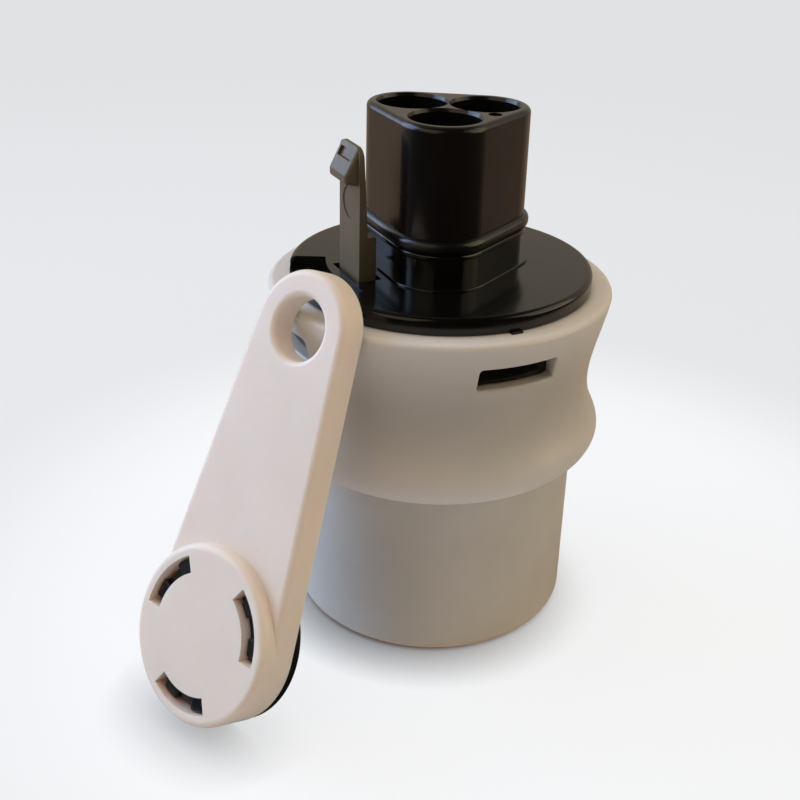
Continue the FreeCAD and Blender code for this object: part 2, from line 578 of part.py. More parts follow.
def latch_lever():
    """Tapered lever with a hooked nose, a foot block, a thumb mark and two trunnions."""
    half = LATCH_WIDTH / 2
    bar = latch_section([(0, -TRUNNION_DOWN), (LATCH_FOOT_THICKNESS, -TRUNNION_DOWN),
                         (LATCH_FOOT_THICKNESS, FOOT_BLOCK_HEIGHT), (LATCH_TOP_THICKNESS, LATCH_HEIGHT),
                         (0, LATCH_HEIGHT)])
    foot = block((LATCH_OUTER_X, LATCH_INNER_X + FOOT_BLOCK_THICKNESS), (-half, half),
                 (LATCH_BOTTOM_Z, FOOT_BLOCK_TOP_Z))
    low = [edge for edge in cross_edges(foot, LATCH_WIDTH) if edge.BoundBox.ZMax < LATCH_PIVOT_Z]
    foot = foot.makeFillet(LATCH_ROUND, low)
    high = [edge for edge in cross_edges(foot, LATCH_WIDTH)
            if edge.BoundBox.ZMax > LATCH_PIVOT_Z and edge.BoundBox.XMin > LATCH_INNER_X]
    foot = foot.makeFillet(FOOT_BLOCK_ROUND, [edge for edge in high if edge.BoundBox.ZMin > FOOT_BLOCK_TOP_Z - 1e-4])
    nose = latch_section([(0, LATCH_HEIGHT), (-NOSE_PROUD, NOSE_RIDGE_HEIGHT), (-NOSE_PROUD, NOSE_TIP_HEIGHT),
                          (0, NOSE_ROOT_HEIGHT), (LATCH_TOP_THICKNESS, NOSE_ROOT_HEIGHT),
                          (LATCH_TOP_THICKNESS, LATCH_HEIGHT)])
    nose_half = half - NOSE_INSET
    nose = nose.common(block((LATCH_OUTER_X - RIM_R, 0), (-nose_half, nose_half), (FLANGE_TOP_Z, LATCH_TOP_Z)))
    front = [edge for edge in nose.Edges if edge.BoundBox.XMin < LATCH_OUTER_X - NOSE_PROUD / 2]
    nose = nose.makeFillet(NOSE_ROUND, front)
    axle_half = half + TRUNNION_LENGTH
    axle = Part.makeCylinder(TRUNNION_R, 2 * axle_half, V(LATCH_PIVOT_X, -axle_half, LATCH_PIVOT_Z), V(0, 1, 0))
    outline_box = block((LATCH_OUTER_X - RIM_R, 0), (-half, half), (FLANGE_TOP_Z, LATCH_TOP_Z))
    corners = [edge for edge in outline_box.Edges
               if edge.BoundBox.XLength > half and edge.BoundBox.ZMin > LATCH_TOP_Z - 1e-4]
    above = block((LATCH_OUTER_X - RIM_R, 0), (-half - RIM_R, half + RIM_R), (FLANGE_TOP_Z, LATCH_TOP_Z + SLIGHT))
    trim = above.cut(outline_box.makeFillet(LATCH_CORNER_R, corners))
    body = union([bar, foot, nose, axle]).cut(trim)
    slope = NOSE_PROUD / (LATCH_HEIGHT - NOSE_RIDGE_HEIGHT)
    pocket_top = LATCH_HEIGHT - NOSE_POCKET_DOWN
    pocket_half = NOSE_POCKET_WIDTH / 2
    inward = NOSE_POCKET_DEPTH - slope * (LATCH_HEIGHT - pocket_top)
    outline = [(-NOSE_PROUD, pocket_top), (inward, pocket_top),
               (inward - slope * NOSE_POCKET_HEIGHT, pocket_top - NOSE_POCKET_HEIGHT),
               (-NOSE_PROUD, pocket_top - NOSE_POCKET_HEIGHT)]
    pocket = latch_section(outline).common(block((LATCH_OUTER_X - RIM_R, 0), (-pocket_half, pocket_half),
                                                 (FLANGE_TOP_Z, LATCH_TOP_Z)))
    mark = Part.makeCylinder(THUMB_MARK_R, SLIGHT, V(LATCH_OUTER_X + THUMB_MARK_DEPTH - SLIGHT, 0,
                                                     FLANGE_TOP_Z + THUMB_MARK_HEIGHT), V(1, 0, 0))
    return body.cut(pocket).cut(mark)


def circuit_board():
    """Round board with holes for the contacts, the screws and the header pins."""
    board = disc(BOARD_R, BOARD_UNDER_Z, BOARD_TOP_Z)
    holes = [(CONTACT_TAIL_R + CONTACT_GAP, polar(PLUG_CORNER_FROM_AXIS, angle)) for angle in CORNER_ANGLES]
    holes += [(SCREW_R + SCREW_BOARD_GAP, polar(SCREW_FROM_AXIS, angle)) for angle in SCREW_ANGLES]
    holes += [(HEADER_HOLE_R, V(x, HEADER_Y, 0)) for x in header_places()]
    cutters = [disc(radius, BOARD_UNDER_Z - SLIGHT, BOARD_TOP_Z + SLIGHT, (at.x, at.y)) for radius, at in holes]
    return board.cut(Part.makeCompound(cutters))


def board_screws():
    """Screws that hold the board under the spigot's posts, with a cross drive in each head."""
    screws = []
    for angle in SCREW_ANGLES:
        at = tuple(polar(SCREW_FROM_AXIS, angle))[:2]
        head_bottom = BOARD_UNDER_Z - SCREW_HEAD_HEIGHT
        head = disc(SCREW_HEAD_R, head_bottom, BOARD_UNDER_Z, at)
        shank = disc(SCREW_R, BOARD_UNDER_Z - SLIGHT, BOARD_UNDER_Z + SCREW_LENGTH, at)
        drive = disc(SCREW_DRIVE_R, head_bottom - SLIGHT, head_bottom + SCREW_DRIVE_DEPTH, at)
        screws.append(union([head, shank]).cut(drive))
    return Part.makeCompound(screws)


def header_places():
    """X places of the header pins, centred on the sensor board."""
    return [(step - (HEADER_PINS - 1) / 2) * HEADER_PITCH for step in range(HEADER_PINS)]


def header_pins():
    """Right-angle pins from the main board into the sensor board."""
    half = HEADER_SQUARE / 2
    pins = []
    for x in header_places():
        post = block((x - half, x + half), (HEADER_Y - half, HEADER_Y + half),
                     (HEADER_Z - half, BOARD_TOP_Z + HEADER_STAND))
        arm = block((x - half, x + half), (SENSOR_FACE_Y - HEADER_STAND, HEADER_Y + half),
                    (HEADER_Z - half, HEADER_Z + half))
        pins.append(union([post, arm]))
    return Part.makeCompound(pins)


def sensor_board():
    """Upright board that hangs from the main board near the cup's wall."""
    half = SENSOR_BOARD_WIDTH / 2
    board = block((-half, half), (SENSOR_FACE_Y, SENSOR_BOARD_Y), (BOARD_UNDER_Z - SENSOR_BOARD_LENGTH, BOARD_UNDER_Z))
    holes = [Part.makeCylinder(HEADER_HOLE_R, SENSOR_BOARD_THICKNESS + 2 * SLIGHT,
                               V(x, SENSOR_FACE_Y - SLIGHT, HEADER_Z), V(0, 1, 0)) for x in header_places()]
    return board.cut(Part.makeCompound(holes))


def magnet_sensor():
    """Sensor chip on the outer face of the upright board."""
    low = BOARD_UNDER_Z - SENSOR_DOWN - SENSOR_SIZE[2]
    return centred_block(SENSOR_SIZE, (0.0, SENSOR_FACE_Y - SENSOR_SIZE[1] / 2), low)


def hung(size, at):
    """Chip of a size hanging under the main board."""
    return centred_block(size, at, BOARD_UNDER_Z - size[2])


def microcontroller():
    """Square chip with a round corner mark."""
    chip = hung(CONTROLLER_SIZE, CONTROLLER_AT)
    low = BOARD_UNDER_Z - CONTROLLER_SIZE[2]
    corner = (CONTROLLER_AT[0] - CONTROLLER_SIZE[0] / 3, CONTROLLER_AT[1] - CONTROLLER_SIZE[1] / 3)
    return chip.cut(disc(CONTROLLER_DOT_R, low - SLIGHT, low + CONTROLLER_DOT_R / 2, corner))


def smoothing_capacitor():
    """Round can with a crimp groove near the board."""
    at = tuple(polar(BOARD_R - CAPACITOR_FROM_EDGE - CAPACITOR_R, CAPACITOR_ANGLE))[:2]
    low = BOARD_UNDER_Z - CAPACITOR_LENGTH
    can = disc(CAPACITOR_R, low, BOARD_UNDER_Z, at)
    can = can.makeFillet(CAPACITOR_GROOVE_DEPTH, level_edges(can, low))
    middle = BOARD_UNDER_Z - CAPACITOR_R / 2
    groove = disc(CAPACITOR_R + SLIGHT, middle - CAPACITOR_GROOVE_DEPTH, middle + CAPACITOR_GROOVE_DEPTH, at)
    return can.cut(groove.cut(disc(CAPACITOR_R - CAPACITOR_GROOVE_DEPTH, low, BOARD_UNDER_Z, at)))


def ceramic_capacitors():
    """Row of block capacitors beside the supply contact."""
    rows = [(CERAMIC_X, (step - (CERAMIC_COUNT - 1) / 2) * CERAMIC_PITCH) for step in range(CERAMIC_COUNT)]
    return Part.makeCompound([hung(CERAMIC_SIZE, at) for at in rows])


def chip_resistors():
    """Grid of chip resistors."""
    places = [(RESISTOR_START[0] + column * RESISTOR_PITCH[0], RESISTOR_START[1] + row * RESISTOR_PITCH[1])
              for column in range(RESISTOR_COLUMNS) for row in range(RESISTOR_ROWS)]
    return Part.makeCompound([hung(RESISTOR_SIZE, at) for at in places])


def key_placement():
    """Placement that leans the key: its cap on the ground, its back near the rim on both sides of the ring hole."""
    lean = math.radians(KEY_LEAN)
    away = polar(1.0, KEY_HEADING)
    normal = away * math.cos(lean) + V(0, 0, math.sin(lean))
    along = away * math.sin(lean) - V(0, 0, math.cos(lean))
    edges = [(CAP_R, CAP_THICKNESS - CAP_CHAMFER), (CAP_R - CAP_CHAMFER, CAP_THICKNESS)]
    height = max(depth * math.sin(lean) + radius * math.cos(lean) for radius, depth in edges)
    touch_out = math.sqrt((RIM_R - RIM_ROUND) ** 2 - (KEY_HOLE_R + KEY_HOLE_ROUND) ** 2)
    rim_reach = touch_out * math.cos(lean) + (LEDGE_Z - RIM_ROUND) * math.sin(lean) + RIM_ROUND
    outward = (rim_reach + KEY_TO_RIM_GAP - height * math.sin(lean)) / math.cos(lean)
    return FreeCAD.Placement(away * outward + V(0, 0, height),
                             FreeCAD.Rotation(along.cross(normal), along, normal, "ZYX"))


def leaned(shape):
    """Copy of a key piece moved from its own frame to where the key leans."""
    copy = shape.copy()
    copy.Placement = key_placement().multiply(copy.Placement)
    return copy


def key_plate():
    """Teardrop plate: the ring end and the boss end joined by their common tangents."""
    tilt = math.degrees(math.asin((KEY_BOSS_R - KEY_RING_R) / KEY_LENGTH))
    ring_centre = V(0, -KEY_LENGTH, 0)
    right_ring = ring_centre + polar(KEY_RING_R, -tilt)
    left_ring = ring_centre + polar(KEY_RING_R, 180.0 + tilt)
    right_boss = polar(KEY_BOSS_R, -tilt)
    left_boss = polar(KEY_BOSS_R, 180.0 + tilt)
    edges = [Part.Arc(left_ring, ring_centre + V(0, -KEY_RING_R, 0), right_ring).toShape(),
             Part.LineSegment(right_ring, right_boss).toShape(),
             Part.Arc(right_boss, V(0, KEY_BOSS_R, 0), left_boss).toShape(),
             Part.LineSegment(left_boss, left_ring).toShape()]
    return Part.Face(Part.Wire(edges)).extrude(V(0, 0, KEY_THICKNESS))


def key_slot_middles():
    """Angles of the arc slots: one straight down the key, the others spread evenly."""
    return [90.0 + 360.0 / KEY_SLOT_COUNT * step for step in range(KEY_SLOT_COUNT)]


def key_body():
    """Plate with a ring hole, a raised boss, three stepped arc slots and the magnet's seat."""
    plate = key_plate()
    plate = plate.cut(disc(KEY_HOLE_R, -SLIGHT, KEY_THICKNESS + SLIGHT, (0.0, -KEY_LENGTH)))
    hole_reach = KEY_LENGTH + KEY_HOLE_R + KEY_HOLE_FRONT_ROUND + 1e-3
    for height, radius in ((KEY_THICKNESS, KEY_HOLE_FRONT_ROUND), (0.0, KEY_HOLE_ROUND)):
        hole_edges = [edge for edge in level_edges(plate, height)
                      if abs(edge.BoundBox.XLength - 2 * KEY_HOLE_R) < 1e-3]
        plate = plate.makeFillet(radius, hole_edges)
    outline = [edge for edge in level_edges(plate, KEY_THICKNESS) if edge.BoundBox.YMin < -hole_reach
               or edge.BoundBox.YMax > -KEY_LENGTH + KEY_HOLE_R + KEY_HOLE_FRONT_ROUND + 1e-3]
    plate = plate.makeFillet(KEY_EDGE_ROUND, outline)
    boss = disc(KEY_BOSS_R, 0.0, KEY_FACE_Z)
    boss = boss.makeFillet(BOSS_ROUND, level_edges(boss, KEY_FACE_Z))
    body = union([plate, boss])
    over = KEY_FACE_Z + SLIGHT
    cutters = [disc(MAGNET_R + MAGNET_GAP, -SLIGHT, FLUX_PLATE_THICKNESS + MAGNET_THICKNESS)]
    for middle in key_slot_middles():
        cutters.append(sector(KEY_SLOT_INNER_R, KEY_SLOT_NECK_R, middle, KEY_SLOT_HALF_ANGLE, -SLIGHT, over))
        cutters.append(sector(KEY_SLOT_INNER_R, KEY_SLOT_OUTER_R, middle, KEY_SLOT_HALF_ANGLE,
                              KEY_SLOT_NECK_DEPTH, over))
    return body.cut(Part.makeCompound(cutters))


def cap_hook(angle):
    """One hook of the cap: a neck through the slot and a rounded head that overhangs the slot's step."""
    top = KEY_FACE_Z - HOOK_BELOW_FACE
    neck = sector(KEY_SLOT_INNER_R + HOOK_GAP, KEY_SLOT_NECK_R - HOOK_GAP, angle, HOOK_HALF_ANGLE,
                  -CAP_THICKNESS / 2, top)
    head = sector(KEY_SLOT_INNER_R + HOOK_GAP, KEY_SLOT_OUTER_R - HOOK_GAP, angle, HOOK_HALF_ANGLE,
                  KEY_SLOT_NECK_DEPTH + HOOK_GAP, top)
    hook = union([neck, head])
    corners = [edge for edge in hook.Edges if edge.BoundBox.DiagonalLength - edge.BoundBox.ZLength < 1e-4
               and edge.BoundBox.ZMax > top - 1e-4]
    hook = hook.makeFillet(HOOK_CORNER_R, corners)
    return hook.makeFillet(HOOK_ROUND, level_edges(hook, top))


def key_cap():
    """Rear cap with a curved wall in each slot and a pair of hooks caught on the step inside the slot."""
    cap = disc(CAP_R, -CAP_THICKNESS, 0.0)
    cap = cap.makeChamfer(CAP_CHAMFER, level_edges(cap, -CAP_THICKNESS))
    wall_top = KEY_SLOT_NECK_DEPTH + CAP_WALL_ABOVE_STEP
    pieces = [cap]
    for middle in key_slot_middles():
        pieces.append(sector(KEY_SLOT_INNER_R + HOOK_GAP, KEY_SLOT_NECK_R - HOOK_GAP, middle,
                             CAP_WALL_HALF_ANGLE, -CAP_THICKNESS / 2, wall_top))
        pieces += [cap_hook(middle + side * HOOK_SIDE_ANGLE) for side in (-1, 1)]
    return union(pieces)


def key_magnet():
    """Disc magnet against the boss's inner face."""
    return disc(MAGNET_R, FLUX_PLATE_THICKNESS, FLUX_PLATE_THICKNESS + MAGNET_THICKNESS)


def key_flux_plate():
    """Thin steel disc between the magnet and the cap."""
    return disc(MAGNET_R, 0.0, FLUX_PLATE_THICKNESS)


PIECES = {
    "base_cup": base_cup(),
    "grip_collar": grip_collar(),
    "connector_flange": connector_flange(),
    "plug_shroud": plug_shroud(),
    "plug_seal": plug_seal(),
    "contact_pin_supply": contact_pin(CORNER_ANGLES[0]),
    "contact_pin_return": contact_pin(CORNER_ANGLES[1]),
    "contact_pin_dimming": contact_pin(CORNER_ANGLES[2]),
    "pin_retainer": pin_retainer(),
    "cup_seal": cup_seal(),
    "circuit_board": circuit_board(),
    "board_screws": board_screws(),
    "sensor_board": sensor_board(),
    "header_pins": header_pins(),
    "magnet_sensor": magnet_sensor(),
    "microcontroller": microcontroller(),
    "voltage_regulator": hung(REGULATOR_SIZE, REGULATOR_AT),
    "smoothing_capacitor": smoothing_capacitor(),
    "ceramic_capacitors": ceramic_capacitors(),
    "chip_resistors": chip_resistors(),
    "latch_lever": latch_lever(),
    "key_body": leaned(key_body()),
    "key_cap": leaned(key_cap()),
    "key_magnet": leaned(key_magnet()),
    "key_flux_plate": leaned(key_flux_plate()),
}

os.makedirs("parts", exist_ok=True)
for name, shape in PIECES.items():
    shape.exportStep("parts/" + name + ".step")
    box = shape.BoundBox
    print(name, "solids", len(shape.Solids), "valid", shape.isValid(), "volume", round(shape.Volume, 1),
          "z", round(box.ZMin, 2), round(box.ZMax, 2))
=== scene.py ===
"""Looks of a plug-in grow light dimmer that stands on its closed end, and of its magnet key.

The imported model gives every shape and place. This script dresses its nodes in procedural finishes,
adds the small metal and rubber pieces that are finer than the model, and sets up a pale floor, soft
lamps and the camera.
"""

import logging
import math
from dataclasses import dataclass
from enum import Enum
from typing import ClassVar

import bpy
import numpy as np
from mathutils import Matrix


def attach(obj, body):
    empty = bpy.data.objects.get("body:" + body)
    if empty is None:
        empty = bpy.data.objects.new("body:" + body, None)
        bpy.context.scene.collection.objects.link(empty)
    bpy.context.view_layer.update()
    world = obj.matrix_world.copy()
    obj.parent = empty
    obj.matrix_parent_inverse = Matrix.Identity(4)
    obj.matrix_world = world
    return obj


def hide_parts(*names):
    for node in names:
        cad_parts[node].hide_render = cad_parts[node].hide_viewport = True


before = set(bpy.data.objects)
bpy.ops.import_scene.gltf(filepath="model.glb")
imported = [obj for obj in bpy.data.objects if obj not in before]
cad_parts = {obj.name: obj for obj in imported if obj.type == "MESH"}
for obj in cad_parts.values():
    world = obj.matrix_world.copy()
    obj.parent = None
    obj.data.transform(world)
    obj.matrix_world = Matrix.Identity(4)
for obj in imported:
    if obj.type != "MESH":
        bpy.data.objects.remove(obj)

LOG = logging.getLogger("dimmer")
MM = 0.001
SHARP_ANGLE = 35.0
FULL_TURN = 2 * np.pi
SMOOTH = {"interpolation_type": "SMOOTHSTEP"}
Node = bpy.types.Node
Socket = bpy.types.NodeSocket
Source = Node | Socket
Tree = bpy.types.NodeTree
Shape = tuple[np.ndarray, np.ndarray]


class Body(Enum):
    """Bodies that a piece can ride on."""

    DIMMER = "dimmer"
    LATCH = "latch"
    KEY = "key"


def linear(hex_colour: str) -> tuple[float, float, float, float]:
    """Turns an sRGB hex colour into linear light, by the standard's line and power.

    Args:
        hex_colour: six hex digits with a number sign in front.

    Returns:
        Red, green, blue and an alpha of 1.
    """
    parts = np.array([int(hex_colour[i:i + 2], 16) for i in (1, 3, 5)]) / 255.0
    light = np.where(parts <= 0.04045, parts / 12.92, ((parts + 0.055) / 1.055) ** 2.4)
    return (*light.tolist(), 1.0)


def add_node(tree: Tree, kind: str, inputs: dict | None = None, **options) -> Node:
    """Adds one node with its settings and incoming links.

    Args:
        tree: node tree that gets the node.
        kind: Blender's name of the node type, less its first part.
        inputs: input socket, by name or number, to its value, to the output that feeds it, or to
            the node whose first output does.
        options: the node's own options.

    Returns:
        The new node.
    """
    node = tree.nodes.new("ShaderNode" + kind)
    for name, value in options.items():
        setattr(node, name, value)
    for socket, value in (inputs or {}).items():
        source = value.outputs[0] if isinstance(value, Node) else value
        if isinstance(source, Socket):
            tree.links.new(source, node.inputs[socket])
        else:
            node.inputs[socket].default_value = source
    return node


def new_material(name: str) -> tuple[bpy.types.Material, Tree]:
    """Makes an empty node material.

    Args:
        name: the real material's name.

    Returns:
        The material and its node tree.
    """
    material = bpy.data.materials.new(name)
    material.use_nodes = True
    material.node_tree.nodes.clear()
    return material, material.node_tree


def millimetres(tree: Tree) -> Node:
    """Object coordinates in millimetres, so that a pattern's scale is one over its size."""
    place = add_node(tree, "TexCoord").outputs["Object"]
    return add_node(tree, "Mapping", {"Vector": place, "Scale": (1 / MM,) * 3})


@dataclass(frozen=True)
class Span:
    """Change of one value into another: low becomes first, and high becomes last."""

    low: float = 0.0
    high: float = 1.0
    first: float = 0.0
    last: float = 1.0

    def of(self, value: Source) -> dict:
        """Inputs of the node that makes this change to a value."""
        return {"Value": value, "From Min": self.low, "From Max": self.high,
                "To Min": self.first, "To Max": self.last}


@dataclass(frozen=True)
class Clouds:
    """Noise: size of a cloud in millimetres, finer layers, and the values taken as 0 and 1."""

    size: float
    detail: float
    low: float = 0.3
    high: float = 0.7

    def read(self, tree: Tree, place: Node, least: float = 0.0, most: float = 1.0) -> Node:
        """Reads the pattern.

        Args:
            tree: node tree.
            place: coordinates in millimetres.
            least: result where the noise is at its low value.
            most: result where it is at its high value.

        Returns:
            The result.
        """
        noise = add_node(tree, "TexNoise",
                         {"Vector": place, "Scale": 1 / self.size, "Detail": self.detail})
        span = Span(self.low, self.high, least, most)
        return add_node(tree, "MapRange", span.of(noise))


def points_at(x: np.ndarray, y: np.ndarray | float, z: np.ndarray | float) -> np.ndarray:
    """Points from their coordinates, each an array or one number for all."""
    return np.stack(np.broadcast_arrays(x, y, z), axis=-1)


def bent(value: np.ndarray, power: float) -> np.ndarray:
    """Value raised to a power, with its sign kept."""
    return np.sign(value) * np.abs(value) ** power


def joined(rings: int, around: int, closed: bool = False) -> np.ndarray:
    """Triangles between neighbouring rings of points.

    Each ring runs anticlockwise as seen from the last ring's side, which turns the faces outwards.

    Args:
        rings: number of rings.
        around: points in a ring.
        closed: whether the last ring joins the first one too.

    Returns:
        Corner numbers, three to a row.
    """
    number = np.arange(rings * around).reshape(rings, around)
    later = np.roll(number, -1, axis=0)
    here, there = (number, later) if closed else (number[:-1], later[:-1])
    corners = [here, np.roll(here, -1, axis=1), np.roll(there, -1, axis=1), there]
    quads = np.stack(corners, axis=-1).reshape(-1, 4)
    return np.concatenate([quads[:, [0, 1, 2]], quads[:, [0, 2, 3]]])


def capped(rings: np.ndarray, start: np.ndarray, end: np.ndarray) -> Shape:
    """Closed surface from rings of points, with one point that closes each end.

    Args:
        rings: points as an array of rings, points in a ring and three coordinates.
        start: point that closes the first ring.
        end: point that closes the last ring.

    Returns:
        Points and triangles.
    """
    count, around = rings.shape[:2]
    points = np.concatenate([rings.reshape(-1, 3), [start], [end]])
    low = np.arange(around)
    high = low + (count - 1) * around
    under = np.stack([np.roll(low, -1), low, np.full(around, count * around)], axis=-1)
    over = np.stack([high, np.roll(high, -1), np.full(around, count * around + 1)], axis=-1)
    return points, np.concatenate([joined(count, around), under, over])


def turned(profile: np.ndarray, around: int) -> Shape:
    """Solid of revolution: radius(s) cos t, radius(s) sin t, height(s) for station s and turn t.

    Args:
        profile: radius and height of each station from low to high, off the axis.
        around: points in a ring.

    Returns:
        Points and triangles, with flat ends at the first and last stations.
    """
    turn = np.linspace(0.0, FULL_TURN, around, endpoint=False)
    radius, height = profile[:, :1], profile[:, 1:]
    rings = points_at(radius * np.cos(turn), radius * np.sin(turn), height)
    return capped(rings, np.array([0.0, 0.0, profile[0, 1]]), np.array([0.0, 0.0, profile[-1, 1]]))


def hoop(section: np.ndarray, radius: float, height: float, around: int) -> Shape:
    """Ring with a closed section: (radius + x(u)) cos t, (radius + x(u)) sin t, height + z(u).

    Args:
        section: x outwards and z upwards of each point of the section, anticlockwise.
        radius: radius of the section's middle.
        height: height of the section's middle.
        around: steps round the ring.

    Returns:
        Points and triangles.
    """
    turn = np.linspace(0.0, FULL_TURN, around, endpoint=False)[:, None]
    out = radius + section[None, :, 0]
    points = points_at(out * np.cos(turn), out * np.sin(turn), height + section[None, :, 1])
    return points.reshape(-1, 3), joined(around, len(section), closed=True)[:, ::-1]


def strip(path: np.ndarray, width: float, thickness: float) -> Shape:
    """Flat strip bent along a path.

    A corner is path(s), half the width to a side and half the thickness along the path's normal.

    Args:
        path: out and up of each station.
        width: width across.
        thickness: thickness of the sheet.

    Returns:
        Points, as out, across and up, and triangles with both ends closed.
    """
    ahead = np.gradient(path, axis=0)
    ahead /= np.linalg.norm(ahead, axis=1, keepdims=True)
    normal = np.stack([-ahead[:, 1], ahead[:, 0]], axis=1)
    side = np.array([-1.0, 1.0, 1.0, -1.0]) * width / 2
    over = np.array([-1.0, -1.0, 1.0, 1.0])[None, :, None] * thickness / 2
    flat = path[:, None, :] + over * normal[:, None, :]
    rings = points_at(flat[..., 0], side, flat[..., 1])
    return capped(rings, rings[0].mean(axis=0), rings[-1].mean(axis=0))


def soft_block(size: tuple[float, float, float], squareness: float = 0.22,
               rings: int = 13, around: int = 28) -> Shape:
    """Block with rounded edges: a superellipsoid, its sines and cosines raised to a small power.

    Args:
        size: length, width and height.
        squareness: the power: 1 gives an ellipsoid, and towards 0 it gives a box.
        rings: rings of points between the poles.
        around: points in a ring.

    Returns:
        Points and triangles about the block's middle.
    """
    rise = np.linspace(-np.pi / 2, np.pi / 2, rings + 2)[1:-1, None]
    turn = np.linspace(-np.pi, np.pi, around, endpoint=False)[None, :]
    length, width, height = (side / 2 for side in size)
    level = bent(np.cos(rise), squareness)
    points = points_at(length * level * bent(np.cos(turn), squareness),
                       width * level * bent(np.sin(turn), squareness),
                       height * bent(np.sin(rise), squareness))
    return capped(points, np.array([0.0, 0.0, -height]), np.array([0.0, 0.0, height]))


def repeated(shape: Shape, places: np.ndarray) -> Shape:
    """Copies of one shape: each point p goes to R p + o for each placement.

    Args:
        shape: points and triangles.
        places: placements as an array of three rows, with R's columns and then o.

    Returns:
        Points and triangles of all the copies.
    """
    points, faces = shape
    moved = np.einsum("nij,pj->npi", places[:, :, :3], points) + places[:, None, :, 3]
    shift = len(points) * np.arange(len(places))[:, None, None]
    return moved.reshape(-1, 3), (faces[None] + shift).reshape(-1, 3)


def together(*shapes: Shape) -> Shape:
    """Several shapes as one."""
    starts = np.cumsum([0] + [len(points) for points, _ in shapes[:-1]])
    return (np.concatenate([points for points, _ in shapes]),
            np.concatenate([faces + start for (_, faces), start in zip(shapes, starts)]))


def placed(origins: np.ndarray, out: tuple = (1, 0, 0), across: tuple = (0, 1, 0),
           up: tuple = (0, 0, 1)) -> np.ndarray:
    """Placements that share one turn, or stand as they are.

    Args:
        origins: where each copy's own origin goes.
        out: direction of the shape's own X.
        across: direction of its own Y.
        up: direction of its own Z.

    Returns:
        Placements for the function named repeated.
    """
    turn = np.stack([out, across, up], axis=1).astype(float)
    turns = np.broadcast_to(turn, (len(origins), 3, 3))
    return np.concatenate([turns, np.asarray(origins)[:, :, None]], axis=2)


FLOW = Clouds(11.0, 4.0)
FINGER_MARKS = Clouds(6.0, 6.0)
DUST = Clouds(0.35, 2.0, 0.70, 0.78)
TARNISH = Clouds(2.5, 4.0, 0.35, 0.75)
LACQUER_SHINE = Clouds(3.0, 3.0)
WAVE_DETAIL, GRAIN_DETAIL, LINE_DETAIL = 1.0, 3.0, 4.0


@dataclass(frozen=True)
class Finish:
    """A real material by name, with its colour and a second one that parts of it turn to."""

    name: str
    colour: str
    second: str

    def blended(self, tree: Tree, layers: list[tuple[Source, str]]) -> Socket:
        """The colour with others over it.

        Args:
            tree: node tree.
            layers: how far the colour goes to another one and that other one, from the lowest up.

        Returns:
            The blended colour.
        """
        colour = linear(self.colour)
        for amount, over in layers:
            colour = add_node(tree, "Mix", {0: amount, 6: colour, 7: linear(over)},
                              data_type="RGBA").outputs[2]
        return colour

    def raised(self, tree: Tree, layers: list[tuple[Source, float]]) -> dict[str, Node]:
        """Relief in layers.

        Args:
            tree: node tree.
            layers: a pattern and its depth in millimetres, from the lowest up.

        Returns:
            The shader's input for it.
        """
        under: dict[str, Node] = {}
        for height, depth in layers:
            under = {"Normal": add_node(tree, "Bump", {
                "Height": height, "Strength": 1.0, "Distance": depth * MM, **under})}
        return under

    def surface(self, tree: Tree, place: Node) -> dict:
        """Plain colour; each kind of finish puts its own patterns here.

        Args:
            tree: node tree.
            place: coordinates in millimetres.

        Returns:
            The shader's inputs.
        """
        return {"Base Color": linear(self.colour)}

    def build(self) -> bpy.types.Material:
        """Builds the node material."""
        material, tree = new_material(self.name)
        shader = add_node(tree, "BsdfPrincipled", self.surface(tree, millimetres(tree)))
        add_node(tree, "OutputMaterial", {"Surface": shader})
        return material


